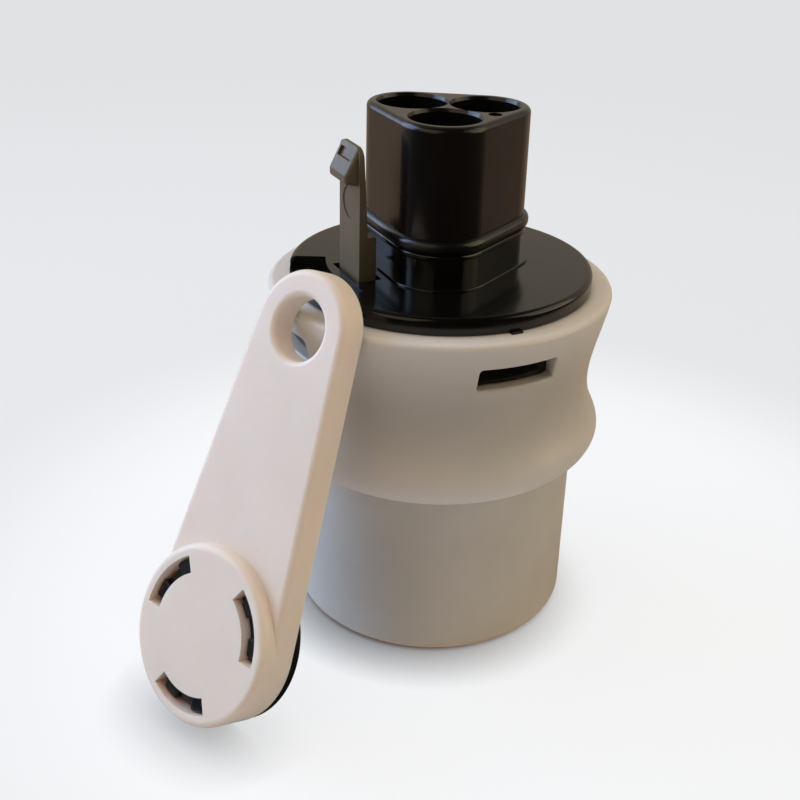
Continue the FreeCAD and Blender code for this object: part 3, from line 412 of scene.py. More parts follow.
@dataclass(frozen=True)
class MouldedPlastic(Finish):
    """Injection moulded plastic: flow clouds, a moulded grain, slow waves and handling marks.

    Grain and waves are each a size and a depth in millimetres. The speck colour, if any, is dust.
    Painted light: towards the listed heights the colour goes to a paler glow colour, painted in for
    light that a thinning wall lets through; the height table gives heights in millimetres with how
    far the colour goes to the glow colour there.
    """

    roughness: float
    grain: tuple[float, float]
    waves: tuple[float, float]
    smudge: float = 0.05
    ior: float = 1.5
    subsurface: float = 0.0
    subsurface_radius: tuple[float, float, float] = (1.0, 0.66, 0.42)
    subsurface_scale: float = 1.5
    coat: float = 0.0
    coat_roughness: float = 0.12
    speck: str = ""
    # Painted light: a paler glow colour, and the heights where it stands in for light through thin
    # walls.
    painted_glow: str = ""
    painted_glow_at: tuple[tuple[float, float], ...] = ()

    def painted_glow_amount(self, tree: Tree, place: Node) -> Node:
        """How far the colour goes to the painted glow colour, read smoothly from the listed heights.

        Args:
            tree: node tree.
            place: coordinates in millimetres.

        Returns:
            Zero for the plain colour to one for the painted glow colour.
        """
        low, high = self.painted_glow_at[0][0], self.painted_glow_at[-1][0]
        up = add_node(tree, "SeparateXYZ", {"Vector": place}).outputs["Z"]
        level = add_node(tree, "MapRange", Span(low, high).of(up))
        ramp = add_node(tree, "ValToRGB", {"Fac": level})
        stops = ramp.color_ramp
        stops.interpolation = "B_SPLINE"
        for height, _ in self.painted_glow_at[1:-1]:
            stops.elements.new((height - low) / (high - low))
        for stop, (_, amount) in zip(stops.elements, self.painted_glow_at):
            stop.color = (amount, amount, amount, 1.0)
        return ramp

    def surface(self, tree: Tree, place: Node) -> dict:
        """Clouds, painted glow by height and dust in the colour; waves and grain in the relief."""
        layers = [(FLOW.read(tree, place), self.second)]
        # Painted light: the colour turns paler by height, a glow painted into the colour.
        if self.painted_glow_at:
            layers.append((self.painted_glow_amount(tree, place), self.painted_glow))
        if self.speck:
            layers.append((DUST.read(tree, place), self.speck))
        relief = [(Clouds(size, detail, 0.0, 1.0).read(tree, place), depth)
                  for (size, depth), detail in ((self.waves, WAVE_DETAIL),
                                                (self.grain, GRAIN_DETAIL))]
        shine = FINGER_MARKS.read(tree, place, self.roughness - self.smudge,
                                  self.roughness + self.smudge)
        return {"Base Color": self.blended(tree, layers), "Roughness": shine,
                **self.raised(tree, relief), "IOR": self.ior,
                "Subsurface Weight": self.subsurface, "Subsurface Radius": self.subsurface_radius,
                "Subsurface Scale": self.subsurface_scale * MM,
                "Coat Weight": self.coat, "Coat Roughness": self.coat_roughness}


@dataclass(frozen=True)
class PlainMetal(Finish):
    """Metal with a worked surface: lines or a mottle in its roughness, and duller patches."""

    roughness: float
    spread: float = 0.08
    line_stretch: tuple[float, float, float] = (1.0, 1.0, 1.0)
    line_size: float = 0.25
    line_depth: float = 0.004

    def surface(self, tree: Tree, place: Node) -> dict:
        """Tarnish in the colour, and lines in the roughness and the relief."""
        drawn = add_node(tree, "Mapping", {"Vector": place, "Scale": self.line_stretch})
        lines = Clouds(self.line_size, LINE_DETAIL).read(tree, drawn)
        span = Span(first=self.roughness - self.spread, last=self.roughness + self.spread)
        return {"Base Color": self.blended(tree, [(TARNISH.read(tree, place), self.second)]),
                "Roughness": add_node(tree, "MapRange", span.of(lines)), "Metallic": 1.0,
                **self.raised(tree, [(lines, self.line_depth)])}


@dataclass(frozen=True)
class SolderMask(Finish):
    """Green lacquer on glass laminate, over copper runs in the second colour. Millimetres."""

    ior: float = 1.53
    roughness: tuple[float, float] = (0.25, 0.40)
    weave: float = 0.5
    weave_depth: float = 0.003
    run_pitch: float = 1.6
    run_length: float = 6.4
    run_width: float = 0.16
    run_edge: float = 0.1
    run_depth: float = 0.035

    def surface(self, tree: Tree, place: Node) -> dict:
        """Runs in the colour, and the glass weave under them in the relief."""
        runs = add_node(tree, "TexBrick", {
            "Vector": place, "Scale": 1.0, "Mortar Size": self.run_width,
            "Brick Width": self.run_length, "Row Height": self.run_pitch,
            "Mortar Smooth": self.run_edge}).outputs["Fac"]
        threads = add_node(tree, "TexChecker", {"Vector": place, "Scale": 1 / self.weave})
        relief = [(threads.outputs["Fac"], self.weave_depth), (runs, self.run_depth)]
        return {"Base Color": self.blended(tree, [(runs, self.second)]), "IOR": self.ior,
                "Roughness": LACQUER_SHINE.read(tree, place, *self.roughness),
                **self.raised(tree, relief)}


# White polyamide, spark eroded in the mould: a fine even grain that breaks up every highlight, and
# a painted warm glow, colour that stands in for light, along the edge that it stands on.
CUP_WHITE = MouldedPlastic(
    "polyamide_white_spark_eroded", "#D3CFC6", "#CDC8BE", 0.50, grain=(0.32, 0.03),
    # Painted light: the lowest millimetre goes to a warm pale colour, a painted glow.
    waves=(14.0, 0.05), ior=1.53, subsurface=0.25, painted_glow="#F1CFAF",
    painted_glow_at=((0.0, 1.0), (0.4, 0.9), (0.9, 0.1), (3.0, 0.0)))
# The same polyamide from a polished mould: smooth and waxy, with soft long highlights.
# Its colour goes paler towards the rim and the hem: painted light, standing in for light through the
# thin walls and on the flare.
COLLAR_WHITE = MouldedPlastic(
    "polyamide_white_polished_mould", "#C4BDB1", "#BEB7AA", 0.40, grain=(0.5, 0.004),
    waves=(8.0, 0.05), smudge=0.06, ior=1.53, subsurface=0.3, painted_glow="#F3EEE7",
    # Painted light: paler near the hem and the rim, plain colour at the waist.
    painted_glow_at=((27.3, 0.85), (30.0, 0.7), (33.0, 0.4), (37.0, 0.15),
             (41.5, 0.0), (45.5, 0.12), (49.0, 0.28), (53.5, 0.65)))
# Glossy black polyamide: dark mirror with a slight moulding ripple and a little dust.
FLANGE_BLACK = MouldedPlastic(
    "polyamide_black_gloss", "#080807", "#0B0B09", 0.17, grain=(0.45, 0.002),
    waves=(5.0, 0.012), smudge=0.03, speck="#2A2724")
# Satin black polyamide: its flats pick up a brown sheen at a low angle.
SHROUD_BLACK = MouldedPlastic(
    "polyamide_black_satin", "#0D0B0A", "#120F0D", 0.24, grain=(0.4, 0.006),
    waves=(6.0, 0.03), smudge=0.04, speck="#2E2A26")
# Moulded black rubber with a thin film of grease: round wet highlights.
SEAL_RUBBER = MouldedPlastic(
    "epdm_rubber_greased", "#080807", "#0D0C0B", 0.30, grain=(0.25, 0.006),
    waves=(3.0, 0.02), smudge=0.10, coat=0.12)
# Grey glass-filled polyamide: matte, cloudy, slightly rough to the touch.
LATCH_GREY = MouldedPlastic(
    "polyamide_grey_glass_filled", "#665A43", "#5C513D", 0.46, grain=(0.28, 0.016),
    waves=(4.0, 0.03), smudge=0.08, ior=1.53)
# White acrylonitrile styrene from a fine-blasted mould: soft satin, and light soaks into it.
KEY_WHITE = MouldedPlastic(
    "abs_white_satin", "#F3E5D7", "#EEE0D0", 0.46, grain=(0.22, 0.006), waves=(12.0, 0.04),
    ior=1.52, subsurface=0.45, subsurface_radius=(1.25, 0.66, 0.38))
# Glossy black styrene clip: small hard highlights on its hooks.
CAP_BLACK = MouldedPlastic(
    "abs_black_gloss", "#0F0F0F", "#161514", 0.28, grain=(0.3, 0.006), waves=(4.0, 0.02),
    smudge=0.06, ior=1.52)
# Filled epoxy of the chips: dead black with a fine stony grain.
CHIP_EPOXY = MouldedPlastic(
    "epoxy_black_filled", "#1B1B1B", "#242322", 0.62, grain=(0.12, 0.01), waves=(2.0, 0.0),
    ior=1.55, speck="#4A4948")
# Tan barium titanate blocks with a dull fired skin.
CERAMIC_TAN = MouldedPlastic(
    "barium_titanate_tan", "#A98B63", "#98794F", 0.55, grain=(0.1, 0.008), waves=(1.0, 0.0),
    ior=1.6)
# Tin plated brass: pale warm grey, fine turning lines round the contact.
TINNED_BRASS = PlainMetal("brass_tin_plated", "#D6D2CA", "#BDB7AC", 0.28,
                          line_stretch=(0.2, 0.2, 6.0))
# Zinc plated steel: bluish grey with dull patches.
ZINC_STEEL = PlainMetal("steel_zinc_plated", "#C4C6C8", "#A3A4A2", 0.34)
# Nickel plated magnet: bright, slightly yellow mirror.
NICKEL = PlainMetal("neodymium_nickel_plated", "#D2CDC2", "#BFB9AC", 0.16, spread=0.05)
# Drawn aluminium can: fine lines up its side.
DRAWN_CAN = PlainMetal("aluminium_drawn", "#D9DADB", "#C2C3C4", 0.32,
                       line_stretch=(6.0, 6.0, 0.15))
# Bright solder: smooth, wetted, a little frosty.
SOLDER = PlainMetal("solder_tin_copper", "#CFCFCD", "#B4B3B0", 0.24)
# Glass laminate with green solder mask: a satin sheen, with the runs a shade lighter.
BOARD_GREEN = SolderMask("fr4_green_solder_mask", "#0F4A2B", "#1C6A40")


class PaintShop:
    """Builds each finish once and gives it to meshes."""

    def __init__(self) -> None:
        """Starts with no material made."""
        self.made: dict[str, bpy.types.Material] = {}

    def coat(self, mesh: bpy.types.Mesh, finish: Finish) -> None:
        """Gives a mesh one finish.

        Args:
            mesh: mesh of a node or a new piece.
            finish: the finish it gets.
        """
        if finish.name not in self.made:
            self.made[finish.name] = finish.build()
        mesh.materials.clear()
        mesh.materials.append(self.made[finish.name])


@dataclass
class Assembly:
    """One sub-assembly: the body it moves with, its nodes' finishes, and its finer pieces."""

    shop: PaintShop
    body: Body = Body.DIMMER
    finishes: ClassVar[dict[str, Finish]] = {}

    def dress(self) -> None:
        """Gives each node its finish."""
        for node, finish in self.finishes.items():
            self.shop.coat(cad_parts[node].data, finish)
            LOG.info("%s wears %s", node, finish.name)

    def add(self, name: str, shape: Shape, finish: Finish, slot: str, *stands_for: str) -> None:
        """Puts a new piece in the scene.

        Args:
            name: name of the piece.
            shape: its points in millimetres and its triangles.
            finish: its finish.
            slot: material slot that it belongs to; not used.
            stands_for: nodes that it replaces.
        """
        points, faces = shape
        mesh = bpy.data.meshes.new(name)
        mesh.from_pydata((points * MM).tolist(), [], faces.tolist())
        mesh.shade_smooth()
        mesh.set_sharp_from_angle(angle=math.radians(SHARP_ANGLE))
        piece = bpy.data.objects.new(name, mesh)
        bpy.context.scene.collection.objects.link(piece)
        self.shop.coat(mesh, finish)
        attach(piece, self.body.value)
        if stands_for:
            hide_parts(*stands_for)
        LOG.info("%s made with %d triangles", name, len(faces))

    def build(self) -> None:
        """Dresses the nodes; sub-assemblies with finer pieces make them here too."""
        self.dress()


@dataclass
class CupAndCollar(Assembly):
    """Closed cup, waisted collar and the lipped ring that seals the cup. Sizes in millimetres."""

    finishes: ClassVar[dict[str, Finish]] = {"base_cup": CUP_WHITE, "grip_collar": COLLAR_WHITE}
    ring_inner: float = 19.0
    ring_outer: float = 20.25
    ring_height: float = 1.6
    ring_z: float = 40.3
    ring_squareness: float = 0.6
    lip_dip: float = 0.2
    dip_reach: float = 0.28
    section_points: int = 48
    ring_steps: int = 160

    def seal_ring(self) -> Shape:
        """Rubber ring with two lips outwards.

        Its section is a superellipse whose outer side dips at mid height by a bell curve, so that
        a lip stands above and below the dip.

        Returns:
            Points and triangles.
        """
        turn = np.linspace(0.0, FULL_TURN, self.section_points, endpoint=False)
        across = bent(np.cos(turn), self.ring_squareness)
        upward = bent(np.sin(turn), self.ring_squareness)
        out = across * (self.ring_outer - self.ring_inner) / 2
        high = upward * self.ring_height / 2
        out -= self.lip_dip * np.exp(-(high / self.dip_reach) ** 2) * np.clip(across, 0.0, 1.0)
        middle = (self.ring_inner + self.ring_outer) / 2
        return hoop(np.stack([out, high], axis=1), middle, self.ring_z, self.ring_steps)

    def build(self) -> None:
        """Dresses the shells and makes the seal ring."""
        self.dress()
        self.add("cup_seal_lipped", self.seal_ring(), SEAL_RUBBER, "seal_rubber", "cup_seal")


@dataclass
class Connector(Assembly):
    """Flange, three-pole plug, its rubber bead and turned contacts. Sizes in millimetres."""

    finishes: ClassVar[dict[str, Finish]] = {
        "connector_flange": FLANGE_BLACK, "plug_shroud": SHROUD_BLACK, "plug_seal": SEAL_RUBBER,
        "pin_retainer": SHROUD_BLACK}
    contacts: ClassVar[dict[str, float]] = {"supply": 0.0, "return": 120.0, "dimming": 240.0}
    from_axis: float = 6.1
    tail_r: float = 0.8
    tail_bottom: float = 35.1
    collar_r: float = 2.1
    collar_bottom: float = 51.7
    shank_r: float = 1.7
    shank_bottom: float = 58.8
    pin_r: float = 1.5
    pin_bottom: float = 62.1
    pin_top: float = 72.0
    tip_round: float = 0.7
    neck_deep: float = 0.14
    neck_reach: float = 0.3
    neck_z: float = 69.4
    edge_break: float = 0.12
    pin_stations: int = 60
    tip_stations: int = 10
    around: int = 40

    def contact(self) -> Shape:
        """Turned contact on the axis: tail, collar, shank and pin.

        Its radius is one value on each length with broken edges between them, less a bell curve at
        the pin's snap neck, and a quarter circle at its tip.

        Returns:
            Points and triangles.
        """
        edge = self.edge_break
        lengths = [(self.tail_r - edge, self.tail_bottom), (self.tail_r, self.tail_bottom + edge),
                   (self.tail_r, self.collar_bottom),
                   (self.collar_r - edge, self.collar_bottom),
                   (self.collar_r, self.collar_bottom + edge),
                   (self.collar_r, self.shank_bottom - edge),
                   (self.collar_r - edge, self.shank_bottom),
                   (self.shank_r, self.shank_bottom), (self.shank_r, self.pin_bottom - edge),
                   (self.pin_r, self.pin_bottom)]
        height = np.linspace(self.pin_bottom + edge, self.pin_top - self.tip_round,
                             self.pin_stations)
        neck = self.neck_deep * np.exp(-((height - self.neck_z) / self.neck_reach) ** 2)
        rise = np.linspace(0.0, np.pi / 2, self.tip_stations)[1:]
        tip = np.stack([self.pin_r - self.tip_round * (1 - np.cos(rise)),
                        self.pin_top - self.tip_round * (1 - np.sin(rise))], axis=1)
        pin = np.stack([self.pin_r - neck, height], axis=1)
        return turned(np.concatenate([lengths, pin, tip]), self.around)

    def build(self) -> None:
        """Dresses the mouldings and makes the three contacts."""
        self.dress()
        for name, angle in self.contacts.items():
            turn = math.radians(angle)
            foot = self.from_axis * np.array([[math.cos(turn), math.sin(turn), 0.0]])
            self.add("contact_turned_" + name, repeated(self.contact(), placed(foot)),
                     TINNED_BRASS, "contact_metal", "contact_pin_" + name)


@dataclass
class SideLatch(Assembly):
    """Grey lever on the flange's left side."""

    body: Body = Body.LATCH
    finishes: ClassVar[dict[str, Finish]] = {"latch_lever": LATCH_GREY}


@dataclass
class MagnetKey(Assembly):
    """Loose key: white teardrop with its boss, black hooked cap, magnet and flux plate."""

    body: Body = Body.KEY
    finishes: ClassVar[dict[str, Finish]] = {
        "key_body": KEY_WHITE, "key_cap": CAP_BLACK, "key_magnet": NICKEL,
        "key_flux_plate": ZINC_STEEL}


@dataclass(frozen=True)
class Lead:
    """Bent lead in millimetres: its width, its exit's height off the board, and its reach."""

    width: float
    exit: float
    reach: float


@dataclass
class Electronics(Assembly):
    """Boards, chips and the metal on them that is finer than the model. Sizes in millimetres."""

    finishes: ClassVar[dict[str, Finish]] = {
        "circuit_board": BOARD_GREEN, "sensor_board": BOARD_GREEN, "board_screws": ZINC_STEEL,
        "header_pins": TINNED_BRASS, "magnet_sensor": CHIP_EPOXY, "microcontroller": CHIP_EPOXY,
        "voltage_regulator": CHIP_EPOXY, "smoothing_capacitor": DRAWN_CAN,
        "ceramic_capacitors": CERAMIC_TAN, "chip_resistors": CHIP_EPOXY}
    under_z: float = 35.9
    top_z: float = 37.5
    lead_thickness: float = 0.15
    lead_root: float = 0.2
    lead_level: float = 0.18
    lead_slope: float = 0.42
    lead_stations: int = 22
    controller_at: tuple[float, float] = (-11.0, -1.5)
    controller_side: float = 7.0
    controller_pitch: float = 0.8
    controller_leads: int = 8
    controller_lead: Lead = Lead(0.34, 0.6, 1.0)
    regulator_at: tuple[float, float] = (10.0, 8.5)
    regulator_width: float = 6.0
    regulator_pitch: float = 2.28
    regulator_lead: Lead = Lead(0.8, 1.15, 1.35)
    tab_width: float = 5.3
    tab_thickness: float = 0.5
    tab_root: float = 0.3
    tab_reach: float = 1.2
    tab_stations: int = 6
    sensor_y: float = -13.5
    sensor_top_z: float = 16.3
    sensor_pitch: float = 1.27
    sensor_lead: Lead = Lead(0.4, 0.75, 1.2)
    plating: float = 0.03
    capacitor_size: tuple[float, float, float] = (3.2, 1.6, 1.4)
    capacitor_end: float = 0.55
    capacitor_x: float = 11.5
    capacitor_pitch: float = 2.6
    resistor_size: tuple[float, float, float] = (2.0, 1.25, 0.5)
    resistor_end: float = 0.4
    resistor_start: tuple[float, float] = (-1.0, 9.6)
    resistor_pitch: tuple[float, float] = (2.9, 2.4)
    resistor_grid: tuple[int, int] = (3, 2)
    header_pins: int = 4
    header_pitch: float = 2.54
    header_y: float = -11.0
    header_z: float = 33.6
    contact_from_axis: float = 6.1
    tail_fillet: tuple[float, float, float] = (1.6, 0.85, 0.7)
    post_fillet: tuple[float, float, float] = (1.0, 0.48, 0.5)
    fillet_stations: int = 12
    fillet_around: int = 28

    def in_line(self, count: int, pitch: float) -> np.ndarray:
        """Offsets of a row of things, centred on zero."""
        return (np.arange(count) - (count - 1) / 2) * pitch

    def gull_wing(self, lead: Lead) -> Shape:
        """Lead out of a chip's side: level, then to the board, then level again along it.

        Its path goes out in even steps while its height rises by a smooth step: three times the
        square of how far it is, less twice the cube.

        Args:
            lead: the lead's sizes.

        Returns:
            Points and triangles, with up towards the board.
        """
        out = np.linspace(-self.lead_root, lead.reach, self.lead_stations)
        step = np.clip((out - self.lead_level) / self.lead_slope, 0.0, 1.0)
        rise = lead.exit - self.lead_thickness / 2
        path = np.stack([out, rise * step ** 2 * (3 - 2 * step)], axis=1)
        return strip(path, lead.width, self.lead_thickness)

    def controller_wings(self) -> Shape:
        """Leads of the microcontroller: one lead, put along each side and turned by quarters.

        Returns:
            Points and triangles of all the leads.
        """
        lead = self.gull_wing(self.controller_lead)
        along = self.in_line(self.controller_leads, self.controller_pitch)
        turns = np.radians([0.0, 90.0, 180.0, 270.0])
        out = points_at(np.cos(turns), np.sin(turns), 0.0)
        across = points_at(-np.sin(turns), np.cos(turns), 0.0)
        middle = np.array([*self.controller_at, self.under_z - self.controller_lead.exit])
        origins = (middle + self.controller_side / 2 * out[:, None]
                   + along[None, :, None] * across[:, None])
        return together(*(repeated(lead, placed(*side)) for side in zip(origins, out, across)))

    def regulator_wings(self) -> Shape:
        """Three leads on the regulator's near side and its cooling tab on the far side.

        Returns:
            Points and triangles of leads and tab.
        """
        x, y = self.regulator_at
        half, lead = self.regulator_width / 2, self.regulator_lead
        origins = points_at(x + self.in_line(3, self.regulator_pitch), y - half,
                            self.under_z - lead.exit)
        leads = repeated(self.gull_wing(lead), placed(origins, (0, -1, 0), (1, 0, 0)))
        out = np.linspace(-self.tab_root, self.tab_reach, self.tab_stations)
        tab = strip(np.stack([out, 0 * out], axis=1), self.tab_width, self.tab_thickness)
        tab_at = np.array([[x, y + half, self.under_z - self.tab_thickness / 2]])
        return together(leads, repeated(tab, placed(tab_at, (0, 1, 0), (-1, 0, 0))))

    def sensor_wings(self) -> Shape:
        """Three leads up from the magnet sensor onto the upright board.

        Returns:
            Points and triangles of the leads.
        """
        origins = points_at(self.in_line(3, self.sensor_pitch),
                            self.sensor_y - self.sensor_lead.exit, self.sensor_top_z)
        return repeated(self.gull_wing(self.sensor_lead),
                        placed(origins, (0, 0, 1), (1, 0, 0), (0, 1, 0)))

    def end_caps(self, size: tuple[float, float, float], middles: np.ndarray,
                 length: float) -> Shape:
        """Plated ends of chips: a soft block a little larger than the chip round each end.

        Args:
            size: the chip's length, width and height.
            middles: x and y of each chip.
            length: how far a plated end reaches along the chip.

        Returns:
            Points and triangles of all the ends.
        """
        block = soft_block((length, size[1] + 2 * self.plating, size[2] + self.plating))
        height = self.under_z - (size[2] + self.plating) / 2
        shift = size[0] / 2 + self.plating - length / 2
        ends = np.concatenate([middles + [shift, 0.0], middles - [shift, 0.0]])
        return repeated(block, placed(points_at(ends[:, 0], ends[:, 1], height)))

    def fillet(self, foot: float, neck: float, height: float) -> Shape:
        """Cone of solder with a hollow side.

        Its radius falls from the foot's to the neck's with the square of the height left.

        Args:
            foot: radius on the board.
            neck: radius on the pin.
            height: height along the pin.

        Returns:
            Points and triangles, standing on the origin.
        """
        rise = np.linspace(0.0, 1.0, self.fillet_stations)
        radius = neck + (foot - neck) * (1 - rise) ** 2
        return turned(np.stack([radius, height * rise], axis=1), self.fillet_around)

    def solder(self) -> Shape:
        """Solder round the contact tails under the board, and round the headers on both boards.

        Returns:
            Points and triangles of all the joints.
        """
        turns = np.radians([0.0, 120.0, 240.0])
        tails = points_at(self.contact_from_axis * np.cos(turns),
                          self.contact_from_axis * np.sin(turns), self.under_z)
        along = self.in_line(self.header_pins, self.header_pitch)
        post = self.fillet(*self.post_fillet)
        return together(
            repeated(self.fillet(*self.tail_fillet),
                     placed(tails, (1, 0, 0), (0, -1, 0), (0, 0, -1))),
            repeated(post, placed(points_at(along, self.header_y, self.top_z))),
            repeated(post, placed(points_at(along, self.sensor_y, self.header_z),
                                  (1, 0, 0), (0, 0, 1), (0, -1, 0))))

    def build(self) -> None:
        """Dresses the boards and chips and makes leads, plated ends and solder."""
        self.dress()
        blocks = np.stack([np.full(3, self.capacitor_x), self.in_line(3, self.capacitor_pitch)],
                          axis=1)
        column, row = np.meshgrid(*map(np.arange, self.resistor_grid), indexing="ij")
        steps = np.stack([column.ravel(), row.ravel()], axis=1)
        chips = np.array(self.resistor_start) + steps * self.resistor_pitch
        for name, shape, finish in (
                ("microcontroller_leads", self.controller_wings(), TINNED_BRASS),
                ("regulator_leads", self.regulator_wings(), TINNED_BRASS),
                ("sensor_leads", self.sensor_wings(), TINNED_BRASS),
                ("capacitor_ends", self.end_caps(self.capacitor_size, blocks, self.capacitor_end),
                 SOLDER),
                ("resistor_ends", self.end_caps(self.resistor_size, chips, self.resistor_end),
                 SOLDER),
                ("solder_joints", self.solder(), SOLDER)):
            self.add(name, shape, finish, "contact_metal")


@dataclass(frozen=True)
class Lamp:
    """Square area lamp that faces the object: degrees, metres and watts."""

    name: str
    heading: float
    height: float
    size: float
    power: float
    colour: str
    mirrored: bool = True


@dataclass
class Studio:
    """Pale floor, soft lamps and the camera. Lengths in metres, angles in degrees.

    The spans say how light changes along the floor, up the wall and round the room.
    """

    floor_radius: float = 4.0
    floor_rings: int = 40
    floor_sectors: int = 96
    target: tuple[float, float, float] = (0.0, 0.0, 0.040)
    distance: float = 0.18073
    azimuth: float = -27.6
    elevation: float = 24.99
    roll: float = 2.42
    sensor: float = 36.0
    focal: float = 51.92
    shift: tuple[float, float] = (-0.0468, -0.0546)
    nearest: float = 0.01
    farthest: float = 50.0
    floor_colour: str = "#E8E8E9"
    floor_shown: str = "#FBFDFF"
    floor_shadowed: str = "#767676"
    floor_in_gloss: str = "#B0967E"
    wall_colour: str = "#E2E2E1"
    wall_in_gloss: str = "#B6AB9A"
    fill_colour: str = "#E9EDF4"
    fill_strength: float = 0.05
    foot_colour: str = "#FFE3C9"
    foot_glow: Span = Span(0.032, 0.055, 0.15, 0.0)
    light_middle: tuple[float, float, float] = (0.009, -0.005, 0.0)
    light_falloff: Span = Span(0.06, 0.11, 0.81, 0.675)
    far_out: Span = Span(0.12, 0.45)
    far_lift: float = 0.10
    shade: Span = Span(0.1, 1.0)
    shade_limit: Span = Span(0.026, 0.038, 0.0, 0.42)
    shade_reach: float = 0.009
    shade_from: float = 20.0
    shade_tilt: float = 45.0
    shade_samples: int = 16
    ceiling: Span = Span(0.5, 0.8, 1.0, 0.3)
    bright_side: float = 72.0
    round_room: Span = Span(-0.1, 0.55, 0.06, 1.0)
    lamp_distance: float = 0.9
    lamps: tuple[Lamp, ...] = (
        Lamp("overhead", 62.0, 85.0, 0.9, 4.3, "#FFF0DF", mirrored=False),
        Lamp("left_window", 140.0, 25.0, 0.8, 8.7, "#BBD6FF"),
        Lamp("left_room", 203.0, 30.0, 0.8, 1.6, "#FFE6C5"),
        Lamp("right_room", 332.0, 25.0, 0.8, 2.36, "#FFEFD5"),
        Lamp("right_bounce", 332.0, 6.0, 0.5, 0.56, "#FFD040"))

    def floor(self) -> None:
        """Round floor, with rings whose radius grows as the square of their number."""
        step = np.linspace(0.0, 1.0, self.floor_rings + 1)[1:]
        turn = np.linspace(0.0, FULL_TURN, self.floor_sectors, endpoint=False)
        radius, angle = np.meshgrid(self.floor_radius * step ** 2, turn, indexing="ij")
        points = points_at(radius * np.cos(angle), radius * np.sin(angle), 0.0)
        points = np.concatenate([np.zeros((1, 3)), points.reshape(-1, 3)])
        inner = 1 + np.arange((self.floor_rings - 1) * self.floor_sectors)
        inner = inner.reshape(-1, self.floor_sectors)
        beside = np.roll(inner, -1, axis=1)
        corners = [inner, inner + self.floor_sectors, beside + self.floor_sectors, beside]
        quads = np.stack(corners, axis=-1).reshape(-1, 4)
        first = 1 + np.arange(self.floor_sectors)
        fans = np.stack([np.zeros_like(first), first, np.roll(first, -1)], axis=-1)
        mesh = bpy.data.meshes.new("floor")
        mesh.from_pydata(points.tolist(), [], fans.tolist() + quads.tolist())
        mesh.update()
        thing = bpy.data.objects.new("floor", mesh)
        bpy.context.scene.collection.objects.link(thing)
        mesh.materials.append(self.floor_material())
        LOG.info("floor made")

    def contact_shade(self, tree: Tree, away: Socket) -> Node:
        """Contact shadow: how much of a leaning sky shows, no darker than a limit by distance.

        Args:
            tree: node tree.
            away: distance from the object's axis.

        Returns:
            What the floor's brightness is multiplied by.
        """
        lean = heading(math.radians(self.shade_from), math.radians(90.0 - self.shade_tilt))
        lean = add_node(tree, "CombineXYZ", dict(zip("XYZ", lean.tolist())))
        near = add_node(tree, "AmbientOcclusion", {"Normal": lean, "Distance": self.shade_reach},
                        samples=self.shade_samples)
        limit = add_node(tree, "MapRange", self.shade_limit.of(away))
        return add_node(tree, "MapRange", {**self.shade.of(near.outputs["AO"]), "To Min": limit})

    def floor_to_camera(self, tree: Tree, place: Socket, away: Socket) -> Node:
        """Pale floor that fades from the light's middle and turns into the wall's colour far out.

        Args:
            tree: node tree.
            place: coordinates on the floor.
            away: distance from the object's axis.

        Returns:
            The shader: a matte part that takes the object's shadow, and a glow.
        """
        middle = add_node(tree, "VectorMath", {0: place, 1: self.light_middle},
                          operation="DISTANCE").outputs["Value"]
        falloff = add_node(tree, "MapRange", self.light_falloff.of(middle), **SMOOTH)
        far = add_node(tree, "MapRange", self.far_out.of(away), **SMOOTH)
        even = add_node(tree, "Math", {0: far, 1: self.far_lift, 2: falloff},
                        operation="MULTIPLY_ADD")
        strength = add_node(tree, "Math", {0: even, 1: self.contact_shade(tree, away)},
                            operation="MULTIPLY")
        glow = add_node(tree, "Emission", {"Strength": strength, "Color": linear(self.floor_shown)})
        colour = add_node(tree, "Mix", {0: far, 6: linear(self.floor_shadowed),
                                        7: linear("#000000")}, data_type="RGBA").outputs[2]
        return add_node(tree, "AddShader", {0: add_node(tree, "BsdfDiffuse", {"Color": colour}),
                                            1: glow})

    def floor_material(self) -> bpy.types.Material:
        """White paper: matte with a warm glow at the foot, pale to the camera, dim in gloss.

        Returns:
            The material.
        """
        material, tree = new_material("paper_white_matte")
        place = add_node(tree, "TexCoord").outputs["Object"]
        away = add_node(tree, "VectorMath", {0: place}, operation="LENGTH").outputs["Value"]
        foot = add_node(tree, "MapRange", self.foot_glow.of(away), **SMOOTH)
        bounce = add_node(tree, "Emission", {"Strength": foot, "Color": linear(self.foot_colour)})
        matte = add_node(tree, "BsdfDiffuse", {"Color": linear(self.floor_colour)})
        cast = add_node(tree, "AddShader", {0: matte, 1: bounce})
        sheen = add_node(tree, "Emission", {"Strength": self.far_side(tree, place),
                                            "Color": linear(self.floor_in_gloss)})
        shown = self.floor_to_camera(tree, place, away)
        add_node(tree, "OutputMaterial", {"Surface": by_ray(tree, cast, sheen, shown)})
        return material

    def world(self) -> None:
        """Faint fill, a pale wall to the camera, and a dimmer wall in gloss."""
        sky = bpy.data.worlds.new("studio")
        sky.use_nodes = True
        tree = sky.node_tree
        tree.nodes.clear()
        way = add_node(tree, "TexCoord").outputs["Generated"]
        up = add_node(tree, "SeparateXYZ", {"Vector": way}).outputs["Z"]
        dim = add_node(tree, "MapRange", self.ceiling.of(up), **SMOOTH)
        strength = add_node(tree, "Math", {0: self.far_side(tree, way), 1: dim},
                            operation="MULTIPLY")
        fill = add_node(tree, "Background", {"Color": linear(self.fill_colour),
                                             "Strength": self.fill_strength})
        sheen = add_node(tree, "Background", {"Color": linear(self.wall_in_gloss),
                                              "Strength": strength})
        wall = add_node(tree, "Background", {"Color": linear(self.wall_colour)})
        add_node(tree, "OutputWorld", {"Surface": by_ray(tree, fill, sheen, wall)})
        bpy.context.scene.world = sky

